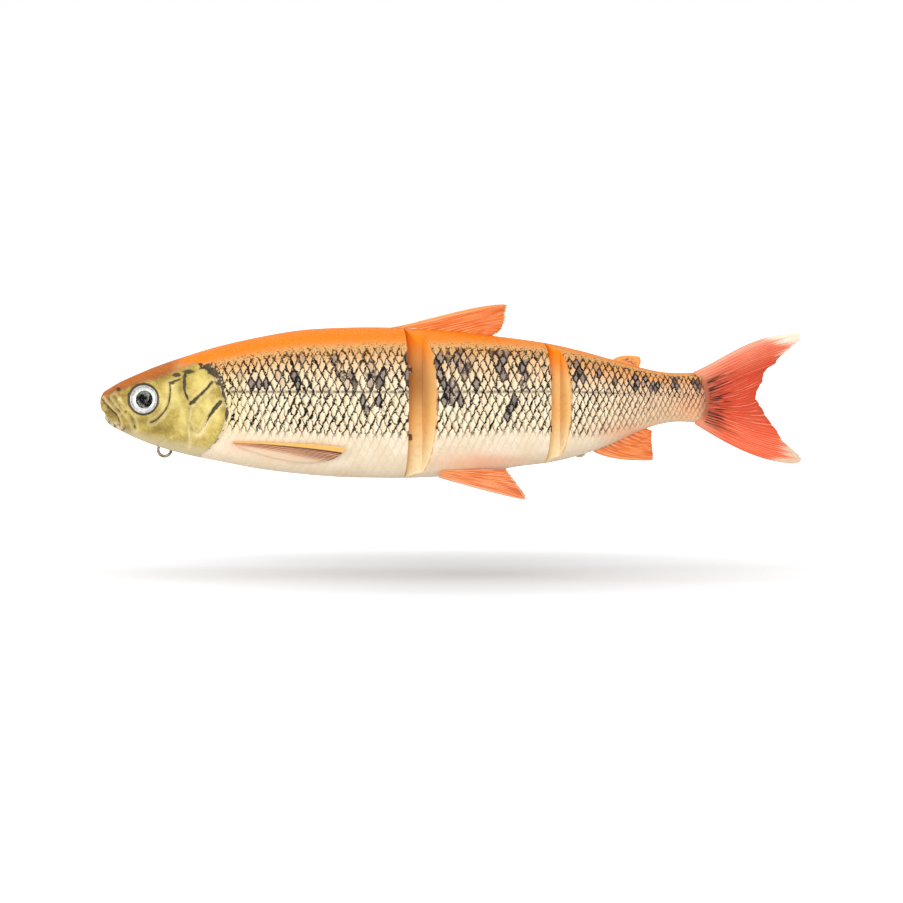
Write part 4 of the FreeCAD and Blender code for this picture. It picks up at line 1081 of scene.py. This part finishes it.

    # the head, with painted highlights and painted shade on the gold cheek
    metal = g.layers(
        g.mix(g.step(broad, 0.32, 0.7), srgb(160, 136, 58), srgb(206, 182, 96)),
        (g.step(fine, 0.45, 0.68) * 0.3, 226, 208, 138),
        # painted highlights on the cheek
        (light * 0.58, 242, 224, 138),
        (g.step(sway, 0.5, 0.68) * 0.18, 124, 106, 46),
        (g.step(sway, 0.5, 0.34) * 0.18, 250, 236, 168),
    )
    snout = g.step(g.along(place), -0.1105, -0.1185)
    metal = g.layers(
        metal,
        (snout * g.step(grain, 0.3, 0.64) * 0.62, 112, 80, 38),
        (g.step(level, 0.2, 0.03), 200, 184, 146),
        # painted shade under the eye and on the cheek
        (painted_shade * 0.62 * (1.0 - bare), 116, 96, 40),
        # painted highlights along grooves and ridges
        (pale * 0.8, 244, 226, 176),
        (warm * 0.75, 214, 136, 78),
    )
    crown = g.layers(
        g.mix(g.step(orange, 0.05, 0.55), srgb(130, 96, 50), srgb(154, 90, 46)),
        (g.step(orange, 0.6, 1.0), 176, 92, 24),
        (g.step(broad, 0.42, 0.64) * 0.35, 164, 100, 54),
        (g.step(fine, 0.46, 0.66) * 0.35, 206, 124, 68),
    )
    metal = g.mix(g.step(orange + (grain - 0.5) * 0.3, 0.0, 0.55) * 0.95, metal, crown)
    colour = g.mix(gold, colour, metal)
    mottle = (grain - 0.5) * 1.2 + (fine - 0.5) * 0.5
    mottle = mottle * (2.6 - gold * 1.6)
    # near-black from dark: dark paint marks and painted shade in creases, the nostril, the eye's gap and
    # pocket
    dark_paint_and_shade = g.step(dark + mottle * g.step(dark, 0.05, 0.4), 0.3, 0.66)
    colour = g.mix(dark_paint_and_shade * 0.92, colour, g.mix(fine, srgb(22, 22, 22), srgb(78, 76, 64)))

    # bare plastic, with painted shade on the recessed neck and a ragged paint edge behind each shoulder
    plastic = g.layers(
        g.mix(g.step(level, 0.1, 0.45), srgb(246, 222, 176), srgb(246, 198, 126)),
        (g.step(level, 0.66, 0.94), 246, 138, 16),
        # painted shade on the recessed neck
        (painted_shade * bare, 166, 112, 58),
        (g.step(grain, 0.48, 0.72) * 0.22, 206, 146, 84),
    )
    rough = rim + (grain - 0.5) * 0.34
    ragged = g.step(rough, 0.035, 0.075, True)
    uncovered = g.higher(bare, ragged)
    # browner paint just behind the ragged paint edge, above the lower flank
    brown_past_paint_edge = g.step(rough, 0.05, 0.16, True) * (1.0 - uncovered) * g.step(level, 0.25, 0.4)
    colour = g.mix(brown_past_paint_edge * 0.55, colour, srgb(150, 96, 48))
    fringe = g.mix(ragged * (1.0 - bare) * 0.7, plastic, srgb(224, 148, 74))
    colour = g.mix(uncovered, colour, fringe)
    # painted shade on the walls of the hinge and hanger slots
    g.colour(g.mix(bare * dark, colour, srgb(96, 66, 38)))
    g.roughness(grain * 0.24 + (0.28 + bare * 0.12))
    height = lines * scales * -0.6 + (fine * 0.25 + streak * 0.25)
    g.bump(height, 0.4, 0.00025)
    return g.mat


def fin_material(name, rays, root, body, rays_colour, edge, lead):
    """Soft fin: a tint from root to edge with fine rays, and a leading ray of another tint with a painted
    highlight line behind it.
    """
    g = soft(name)
    place = g.place()
    u, v, _, _ = g.attribute("fin")
    ribs, pale, along, fine = ray_pattern(g, place, u, v, rays)
    broad = g.noise(place, 120, 3.0)
    tint = g.mix(g.step(v + (broad - 0.5) * 0.5, 0.0, 0.42), root, body)
    tint = g.mix(g.step(broad, 0.42, 0.7) * 0.4, tint, rays_colour)
    tint = g.mix(ribs * 0.75, tint, rays_colour)
    tint = g.mix(g.step(along, 0.54, 0.38) * 0.6, tint, srgb(196, 84, 40))
    tint = g.mix(pale * g.step(along, 0.42, 0.6) * 0.75, tint, edge)
    front = g.step(u + (fine - 0.5) * 0.02, 0.075, 0.1, True)
    tint = g.mix(front * 0.85, tint, lead)
    # a pale line just behind the leading ray, painted as its highlight
    line = g.step(u, 0.085, 0.1) * g.step(u, 0.115, 0.135, True)
    tint = g.mix(line * 0.65, tint, edge)
    tint = g.mix(g.step(v, 0.975, 1.0) * 0.5, tint, edge)
    g.colour(tint)
    finish_soft(g, ribs, fine)
    return g.mat


def soft(name):
    """Skin of soft plastic that lets a little light in."""
    deep = {"Subsurface_Weight": 0.08, "Subsurface_Radius": (0.0012, 0.0005, 0.0003), "Subsurface_Scale": 1.0}
    return Skin(name, Coat_Weight=0.03, Coat_Roughness=0.25, IOR=1.45, Specular_IOR_Level=0.18, **deep)


def ray_pattern(g, place, u, v, rays):
    """Rays that fork halfway out: how much of a ray, how much of the pale line between, and two noises."""
    fine = g.noise(place, 900, 3.0)
    wave = u * float(rays) + (fine - 0.5) * 0.26
    rib = g.math("ABSOLUTE", g.part(wave) - 0.5)
    split = g.math("ABSOLUTE", g.part(wave * 2.0) - 0.5)
    outer = g.step(v, 0.40, 0.62)
    near, far = g.step(rib, 0.10, 0.36, True), g.step(split, 0.10, 0.38, True)
    ribs = near * (1.0 - outer) + far * outer
    pale = g.step(rib, 0.38, 0.47) * (1.0 - outer) + g.step(split, 0.36, 0.46) * outer
    along = g.noise(g.vector(u * (rays * 2.3), v * 2.6), 1.0, 3.0)
    return ribs, pale, along, fine


def finish_soft(g, ribs, fine):
    """Roughness and relief of a rayed fin."""
    g.roughness(0.32 + fine * 0.16)
    g.bump(ribs * 0.8 + fine * 0.2, 0.45, 0.00022)


def pectoral_material():
    """Pectoral fin: a thick yellow leading ray, dark rays under it and a lower half like the belly."""
    g = soft("soft_fin_pectoral")
    u, v, _, _ = g.attribute("fin")
    ribs, pale, along, fine = ray_pattern(g, g.place(), u, v, 9)
    low = g.step(u, 0.46, 0.78)
    tint = g.layers(
        g.mix(low, srgb(208, 140, 104), srgb(234, 204, 172)),
        (g.step(v, 0.0, 0.3, True) * 0.6, 232, 170, 130),
        (ribs * (1.0 - low) * g.step(along, 0.76, 0.46) * 0.95, 84, 42, 26),
        (pale * 0.7, 250, 220, 190),
    )
    line = g.step(u, 0.19, 0.22) * g.step(u, 0.25, 0.3, True) * g.step(v, 0.12, 0.25)
    tint = g.mix(line * 0.85, tint, srgb(86, 46, 28))
    lead = g.step(u, 0.19, 0.22, True)
    gold = g.mix(fine, srgb(240, 176, 82), srgb(250, 206, 128))
    tint = g.layers(g.mix(lead, tint, gold), (g.step(u, 0.93, 1.0) * 0.6, 240, 214, 186))
    g.colour(tint)
    finish_soft(g, ribs, fine)
    return g.mat


def tail_material():
    """Tail: coral rays, dark streaks at the root, cream tips on both lobes."""
    g = soft("soft_tail_coral")
    place = g.place()
    u, v, _, _ = g.attribute("fin")
    ribs, pale, along, fine = ray_pattern(g, place, u, v, 26)
    broad = g.noise(place, 110, 3.0)
    tint = g.layers(
        g.mix(g.step(u, 0.1, 0.36), srgb(240, 138, 104), srgb(200, 72, 40)),
        (g.step(u, 0.6, 0.82), 242, 116, 76),
        (g.step(broad, 0.42, 0.68) * 0.35, 226, 74, 44),
        (ribs * (0.24 + g.step(along, 0.38, 0.62) * 0.5), 206, 62, 38),
        (pale * g.step(along, 0.42, 0.66) * 0.6, 252, 176, 142),
    )
    side = g.math("ABSOLUTE", u * 2.0 - 1.0)
    base = g.mix(g.step(side, 0.45, 0.85), srgb(194, 102, 74), srgb(232, 152, 118))
    root = g.step(v + (along - 0.5) * 0.35, 0.06, 0.36, True)
    tint = g.mix(root * 0.85, tint, base)
    reach = g.step(v + (along - 0.5) * 1.1, 0.2, 0.5, True)
    inside = g.step(u, 0.14, 0.26) * g.step(u, 0.84, 0.94, True) * g.step(v, 0.06, 0.12)
    streaks = reach * inside * (0.06 + g.step(along, 0.54, 0.43) * 0.94)
    tint = g.mix(streaks * 0.95, tint, srgb(58, 16, 8))
    lead = g.step(u, 0.02, 0.12, True) * g.step(v, 0.05, 0.3)
    tint = g.mix(lead * 0.55, tint, srgb(248, 184, 156))
    wisp = (along - 0.5) * 0.35
    over = g.step(wisp + (v - (0.74 + u)), -0.05, 0.09)
    under = g.step(wisp + (v - (1.72 - u * 0.92)), -0.05, 0.07)
    cream = g.mix(g.step(u, 0.4, 0.6), srgb(246, 234, 212), srgb(226, 198, 168))
    tint = g.mix(g.higher(over, under) * 0.95, tint, cream)
    rim = g.higher(g.step(u, 0.0, 0.014, True), g.step(u, 0.986, 1.0))
    tint = g.mix(rim * 0.5, tint, srgb(208, 128, 100))
    g.colour(tint)
    finish_soft(g, ribs, fine)
    return g.mat


def adipose_material():
    """Small fleshy fin: orange, dark in the middle."""
    g = Skin("adipose_skin", Coat_Weight=0.3, Coat_Roughness=0.2, IOR=1.45)
    u, v, _, _ = g.attribute("fin")
    fine = g.noise(g.place(), 1300, 4.0)
    middle = g.step(v, 0.18, 0.4) * g.step(v, 0.55, 0.85, True)
    middle = middle * g.step(u, 0.12, 0.3) * g.step(u, 0.5, 0.9, True)
    tint = g.mix(g.step(fine, 0.4, 0.7), srgb(245, 140, 26), srgb(238, 162, 70))
    g.colour(g.mix(middle * g.step(fine, 0.4, 0.6), tint, srgb(96, 62, 42)))
    g.roughness(0.3 + fine * 0.2)
    g.bump(fine, 0.3, 0.0002)
    return g.mat


def steel_material(name, tint, bright, rough):
    """Metal with fine drawn lines, cloudy between two tints."""
    g = Skin(name, Metallic=1.0)
    place = g.place()
    drawn = g.node("Mapping", {0: place, "Scale": (1.0, 1.0, 0.12)})
    hair = g.noise(drawn, 900, 3.0, 0.6)
    cloud = g.noise(place, 260, 3.0)
    colour = g.mix(g.step(cloud, 0.35, 0.7), tint, bright)
    g.colour(g.mix(g.step(hair, 0.5, 0.75) * 0.3, colour, tint))
    g.roughness(rough + hair * 0.2)
    g.bump(hair, 0.15, 0.0001)
    return g.mat


def iris_material():
    """Silver foil with fine threads, dark round the pupil and at the rim."""
    g = Skin("silver_iris", Metallic=0.55, Coat_Weight=0.3, Coat_Roughness=0.1)
    r, angle, _, _ = g.attribute("polar")
    fine = g.noise(g.place(), 1500, 3.0)
    threads = g.noise(g.vector(angle * 60.0, r * 3.0), 1.0, 2.0)
    colour = g.layers(
        g.mix(g.step(threads, 0.35, 0.7), srgb(188, 188, 184), srgb(240, 240, 236)),
        (g.step(fine, 0.5, 0.75) * 0.5, 150, 150, 150),
        (g.step(r, 0.545, 0.515), 70, 68, 66),
    )
    cloud = g.noise(g.place(), 260, 3.0)
    colour = g.layers(
        colour,
        (g.step(cloud, 0.42, 0.62) * 0.35, 160, 158, 152),
        (g.step(r, 0.68, 0.83) * 0.5, 146, 140, 132),
        (g.step(r, 0.815, 0.85) * 0.95, 40, 36, 30),
    )
    g.colour(colour)
    g.roughness(0.26 + fine * 0.2)
    g.bump(threads, 0.2, 0.0001)
    return g.mat


def pupil_material():
    """Black pupil with grey clouds of painted reflection."""
    g = Skin("pupil", Specular_IOR_Level=0.1)
    cloud = g.noise(g.place(), 480, 4.0)
    # grey clouds are painted reflections
    g.colour(g.mix(g.step(cloud, 0.44, 0.64), srgb(8, 8, 8), srgb(116, 118, 108)))
    g.roughness(0.35 + cloud * 0.15)
    return g.mat


def lens_material():
    """Clear lens that bends light very little."""
    g = Skin("clear_lens", IOR=1.03, Transmission_Weight=1.0)
    ripple = g.noise(g.place(), 260, 2.0)
    g.colour(g.mix(ripple, srgb(250, 251, 252), srgb(255, 255, 255)))
    g.roughness(ripple * 0.04)
    return g.mat


# ------------------------------------------------------------------ pieces
def paint(obj, material):
    obj.data.materials.clear()
    obj.data.materials.append(material)


def put(obj, material, body, nodes, slot):
    """Paints a piece, hides the solid model's pieces it stands for and makes it ride on its body."""
    paint(obj, material)
    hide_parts(*nodes)
    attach(obj, body)


def shell_cutters(name, side):
    """What is cut out of a half shell: the eye's pocket, or slots for hinge plates and hook hanger."""
    if name == "front":
        return [eye_pocket(side)]
    joint, hinge = ("front", FRONT_HINGE) if name == "middle" else ("rear", REAR_HINGE)
    heights = [node_middle(f"{joint}_hinge_plate_{level}").z for level in ("upper", "lower")]
    slots = slot_cutters(hinge, heights)
    return slots if name == "middle" else [*slots, hanger_slot()]


def build_shells():
    """The six painted half shells, in place of the solid model's."""
    material = paint_material()
    for name in SPACING:
        for side, word in SIDES:
            shell = half_shell(name, side)
            subtract(shell, shell_cutters(name, side))
            shade(shell, 48)
            put(shell, material, f"{name}_section", [f"{name}_shell_{word}"], "body_shell")


def hanger_slot():
    """The slot in the rear belly that the hook hanger stands in."""
    low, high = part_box("hook_hanger")
    room, half, count = 1.35, 1.9, 6
    x0, x1 = low.x / MM - room, high.x / MM + room
    plan = []
    for cx, start in ((x1 - half, -90), (x0 + half, 90)):
        for i in range(count + 1):
            a = math.radians(start + 180 * i / count)
            plan.append((cx + half * math.cos(a), half * math.sin(a)))
    depth = 6.1
    return prism(plan, -30.0, low.z / MM + depth, 0.5)


def eye_pocket(side):
    """A round pocket for an eye, painted dark inside as shade."""
    r = EYE_R + 0.07
    pocket = lathe("cut", [(0, -EYE_DEPTH), (r, -EYE_DEPTH), (r, 4.0), (0, 4.0)], side)
    count = len(pocket.data.vertices)
    # the pocket's walls are painted near-black as shade
    values = {"marks": (1, 0, 0, 0), "zones": (0, 0, 0, 1), "lattice": (0, 0, 1, 0.5), "head": (0, 0, 0, 0)}
    for key, row in values.items():
        attribute = pocket.data.attributes.new(key, "FLOAT_COLOR", "POINT")
        attribute.data.foreach_set("color", np.tile(np.array(row, np.float32), count))
    return pocket


def build_eyes():
    """Foil iris, black pupil and clear domed lens, each turned about the eye's axis."""
    floor = -EYE_DEPTH + 0.02
    r = EYE_R - 0.02
    iris = [(0, floor), (r, floor), (r, -0.25), (r - 0.10, -0.05), (r - 0.35, 0.0), (r - 0.62, -0.12)]
    iris += [(r - 0.95, -0.50), (r - 1.35, -0.80), (3.10, -0.98), (3.0, -1.08), (0, -1.10)]
    pupil = [(0, -1.09), (3.02, -1.07), (3.04, -0.97), (2.9, -0.90), (1.8, -0.80), (0.9, -0.76), (0, -0.75)]
    dome_r, rim, rim_height = 13.5, r - 0.50, -0.10
    top = math.sqrt(dome_r**2 - rim**2)
    across = np.linspace(0, 1, 16)
    lens = [(rim * s, rim_height + math.sqrt(dome_r**2 - (rim * s) ** 2) - top) for s in across]
    lens += [(rim, rim_height - 0.06), (r - 0.98, -0.44), (r - 1.40, -0.73), (3.2, -0.90), (2.9, -0.84)]
    lens += [(1.8, -0.74), (0.9, -0.70), (0, -0.69)]
    kinds = (
        ("iris", iris, iris_material(), "iris_foil"),
        ("pupil", pupil, pupil_material(), "pupil_black"),
        ("lens", lens, lens_material(), "eye_lens"),
    )
    for side, word in SIDES:
        for kind, profile, material, slot in kinds:
            obj = lathe(f"eye_{kind}_turned_{word}", profile, side)
            shade(obj, 30)
            put(obj, material, "front_section", [f"eye_{kind}_{word}"], slot)


def back_of(x):
    """Height of the back at x."""
    return float(outline(x)[0])


def belly_of(x):
    """Height of the belly at x."""
    return float(outline(x)[1])


def fin(name, material, section, *shape, **extra):
    """A blade that stands for the solid model's piece of that name."""
    obj = blade(*shape, **extra)
    put(obj, material, section, [name], "soft_fin")


def build_dorsal():
    """Tall fin on the back, whose front reaches over the front section."""
    coral = fin_material(
        "soft_fin_coral", 15, srgb(240, 158, 60), srgb(238, 136, 62), srgb(224, 100, 44),
        srgb(252, 200, 150), srgb(244, 160, 92),
    )
    ahead = FRONT_HINGE["x"] + 1  # up to here the root rides over the front section's back
    places = (-21.7, -17.0, -12.0, -6.0, 2.0, 8.0, 13.0)
    root = [(x, back_of(x) + (0.03 if x < ahead else -0.9)) for x in places]
    tip = [
        (18.4, 34.6), (19.7, 34.3), (19.5, 33.0), (19.1, 31.5), (18.9, 28.9), (18.3, 26.7), (17.2, 25.0),
        (14.4, 23.4),
    ]
    bends = [((-9.0, 28.6), (7.5, 34.4)), ((2.6, 27.0), (11.0, 28.8)), ((13.2, 23.4), (13.8, 23.4))]
    shape = ("dorsal_fin_blade", root, tip, bends, 15, (0.75, 0.35), on_centre)
    fin("dorsal_fin", coral, "middle_section", *shape, lead=0.1)


def build_anal():
    """Fin under the rear section."""
    orange = fin_material(
        "soft_fin_orange", 12, srgb(240, 158, 108), srgb(242, 144, 70), srgb(228, 104, 46),
        srgb(253, 204, 156), srgb(242, 140, 76),
    )
    root = [(x, belly_of(x) + 0.9) for x in (49.3, 54.5, 61.0, 68.0)]
    tip = [(71.6, -21.0), (71.9, -19.6), (71.7, -17.0), (71.4, -13.6), (71.4, -10.4)]
    bends = [((54.6, -20.6), (63.0, -21.2)), ((61.0, -16.4), (67.0, -17.2)), ((69.0, -9.4), (70.4, -9.9))]
    shape = ("anal_fin_blade", root, tip, bends, 12, (0.75, 0.35), on_centre)
    fin("anal_fin", orange, "rear_section", *shape, scallop=0.3)


def build_adipose():
    """Small plump lobe on the rear back."""
    root = [(x, back_of(x) - 0.9) for x in (56.6, 60.5, 64.0, 66.6)]
    tip = [(64.8, 16.35), (66.9, 15.9), (67.4, 14.2), (66.9, 12.4), (67.0, 10.9)]
    bends = [((58.8, 16.7), (62.4, 16.6)), ((62.5, 14.6), (65.4, 13.6)), ((66.7, 10.9), (66.8, 10.8))]
    shape = ("adipose_fin_lobe", root, tip, bends, 5, (0.75, 0.45), on_centre)
    plump = {"scallop": 0.0, "steps": 24, "relief": 0.03, "per_ray": 12}
    fin("adipose_fin", adipose_material(), "rear_section", *shape, **plump)


def build_pelvic():
    """The splayed pair under the middle section."""
    skin_of_fin = fin_material(
        "soft_fin_pelvic", 11, srgb(242, 176, 108), srgb(240, 152, 84), srgb(224, 104, 56),
        srgb(255, 226, 196), srgb(244, 178, 144),
    )
    root = [(-4.7, -26.6), (-4.3, -25.8), (-3.9, -25.0), (-3.2, -24.3)]
    tip = [(25.6, -34.5), (26.4, -34.3), (26.2, -33.4), (24.2, -30.7), (22.2, -27.9), (20.6, -25.7)]
    tip += [(19.3, -23.9)]
    bends = [((4.0, -29.2), (15.2, -32.4)), ((5.0, -27.2), (13.0, -28.2)), ((4.5, -23.6), (12.0, -23.6))]
    for side, word in SIDES:
        shape = (f"pelvic_fin_blade_{word}", root, tip, bends, 11, (0.72, 0.35), on_pelvic(side))
        fin(f"pelvic_fin_{word}", skin_of_fin, "middle_section", *shape, scallop=0.25, relief=0.12, lead=0.45)


def build_pectoral():
    """The pair that lies along the front section's flanks."""
    skin_of_fin = pectoral_material()
    root = [(-77.8, -13.9), (-77.2, -14.3), (-76.6, -14.9), (-76.0, -15.6)]
    tip = [(-37.2, -16.0), (-38.4, -17.6), (-40.6, -19.4), (-43.6, -20.6), (-50.0, -21.4), (-57.0, -20.9)]
    bends = [((-66.0, -13.8), (-50.0, -14.0)), ((-66.0, -15.6), (-54.0, -17.6))]
    bends += [((-71.0, -17.6), (-64.0, -19.6))]
    for side, word in SIDES:
        shape = (f"pectoral_fin_blade_{word}", root, tip, bends, 9, (0.45, 0.25), on_flank(side))
        fin(f"pectoral_fin_{word}", skin_of_fin, "front_section", *shape, scallop=0.3, relief=0.16, lead=0.25)


def build_tail():
    """The forked tail, set behind the rear section."""
    root = [(86.0, 10.6), (88.6, 7.3), (90.0, 2.3), (89.7, -1.6), (88.4, -5.3), (86.6, -8.1)]
    tip = [
        (121.8, 24.15), (124.0, 24.1), (124.6, 23.0), (123.9, 21.6), (121.5, 19.9), (119.0, 17.5),
        (116.8, 15.7), (115.2, 13.4), (112.8, 12.0), (111.3, 10.0), (110.7, 7.2), (109.3, 4.8),
        (108.4, 1.5), (110.2, -1.6), (112.7, -6.0), (116.0, -10.3), (117.4, -13.2), (120.2, -15.9),
        (123.3, -18.5), (124.6, -20.4), (124.3, -21.6), (121.8, -22.2),
    ]
    bends = [((95.5, 14.2), (106.0, 24.0)), ((96.0, 1.3), (102.0, 1.5)), ((95.5, -13.4), (107.5, -21.4))]
    shape = ("tail_fin", root, tip, bends, 26, (2.5, 0.42), on_centre)
    tail = blade(*shape, scallop=0.4, steps=64, relief=0.18, lead=0.2)
    paint(tail, tail_material())
    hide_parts("tail")
    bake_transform(tail)


def dress_kept_nodes():
    """Metals for the solid model's own pieces that stay in view."""
    wire = steel_material("wire_steel", srgb(66, 58, 42), srgb(158, 148, 124), 0.22)
    plate = steel_material("plate_bronze", srgb(206, 148, 92), srgb(222, 166, 106), 0.60)
    cast = steel_material("cast_slug", srgb(88, 88, 90), srgb(120, 120, 124), 0.45)
    hanger = steel_material("hanger_steel", srgb(176, 170, 158), srgb(232, 226, 214), 0.45)
    choice = {"line_tie": wire, "hook_hanger": hanger, "front_ballast": cast, "middle_ballast": cast}
    for node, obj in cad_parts.items():
        if "hinge" in node:
            choice[node] = plate
        if node in choice:
            paint(obj, choice[node])


# ------------------------------------------------------------------ stage
FLOOR_Z = -61.5
FLOOR_HALF = 4.0  # metres
AMBIENT = 0.60
WHITE = (1.0, 1.0, 1.0, 1.0)


def stage_material():
    """Pale floor that takes the lure's shadow, with a soft grey oval of painted shadow under the lure.

    Away from the lure it is lifted to white for whoever looks at it.
    """
    mat = bpy.data.materials.new("floor_white")
    g = Graph(mat, "ShaderNodeOutputMaterial")
    place = g.place()
    # painted shadow: the floor's colour darkens in a soft oval under the lure
    oval = g.node("VectorMath", {0: place, 1: (0.10, 0.15, 1.0)}, operation="DIVIDE")
    painted_shadow_tone = g.step(g.length(oval), 0.0, 1.15, ends=(0.70, 0.92))
    lift = g.seen_by("Is Camera Ray", "Is Glossy Ray") * g.step(g.length(place), 0.10, 0.34)
    diffuse = g.node("BsdfDiffuse", {0: painted_shadow_tone})
    glow = g.node("Emission", {"Strength": lift})
    g.finish(g.node("AddShader", {0: diffuse, 1: glow}))
    return mat


def build_world():
    """Plain ambient light, behind which the background shows white."""
    world = bpy.data.worlds.new("studio")
    bpy.context.scene.world = world
    g = Graph(world, "ShaderNodeOutputWorld")
    dim = g.node("Background", {0: WHITE, 1: AMBIENT})
    white = g.node("Background", {0: WHITE, 1: 1.0})
    seen = g.seen_by("Is Camera Ray", "Is Glossy Ray", "Is Transmission Ray")
    g.finish(g.node("MixShader", {0: seen, 1: dim, 2: white}))


def build_lamp(name, place, size, power):
    """A soft rectangular lamp aimed at the lure's middle; places and sizes in metres, power in watts."""
    data = bpy.data.lights.new(name, "AREA")
    data.shape = "RECTANGLE"
    data.size, data.size_y = size
    data.energy = power
    lamp = bpy.data.objects.new(name, data)
    bpy.context.scene.collection.objects.link(lamp)
    lamp.location = Vector(place)
    lamp.rotation_euler = (Vector() - lamp.location).to_track_quat("-Z", "Y").to_euler()


def build_stage():
    """Floor, ambient light and three soft lamps: above, ahead of the left flank and off the nose."""
    mesh = bpy.data.meshes.new("floor")
    signs = ((-1, -1), (1, -1), (1, 1), (-1, 1))
    corners = [(FLOOR_HALF * a, FLOOR_HALF * b, FLOOR_Z * MM) for a, b in signs]
    mesh.from_pydata(corners, [], [(0, 1, 2, 3)])
    floor = bpy.data.objects.new("floor", mesh)
    bpy.context.scene.collection.objects.link(floor)
    paint(floor, stage_material())
    build_world()
    build_lamp("top", (0.0, 0.0, 0.55), (0.7, 0.8), 1.6)
    build_lamp("front", (0.10, -1.10, 0.35), (1.0, 0.6), 5.0)
    build_lamp("left", (-0.95, -0.45, 0.15), (0.6, 0.6), 4.4)


def build_camera():
    """A long lens on the left flank, a little above level, aimed just under the lure's middle."""
    distance, view_width, pitch, sensor = 2.2, 0.3216, math.radians(2.5), 36.0
    aim = Vector((0.0, 0.0, -0.0178))
    data = bpy.data.cameras.new("camera")
    data.sensor_width = sensor
    data.lens = sensor * distance / view_width
    data.clip_start, data.clip_end = 0.01, 50.0
    camera = bpy.data.objects.new("camera", data)
    bpy.context.scene.collection.objects.link(camera)
    camera.location = aim + Vector((0.0, -math.cos(pitch), math.sin(pitch))) * distance
    camera.rotation_euler = (math.radians(90) - pitch, 0, 0)
    bpy.context.scene.camera = camera


def main():
    bpy.context.scene.view_settings.view_transform = "Standard"
    build_shells()
    build_eyes()
    build_dorsal()
    build_anal()
    build_adipose()
    build_pelvic()
    build_pectoral()
    build_tail()
    dress_kept_nodes()
    build_stage()
    build_camera()


main()
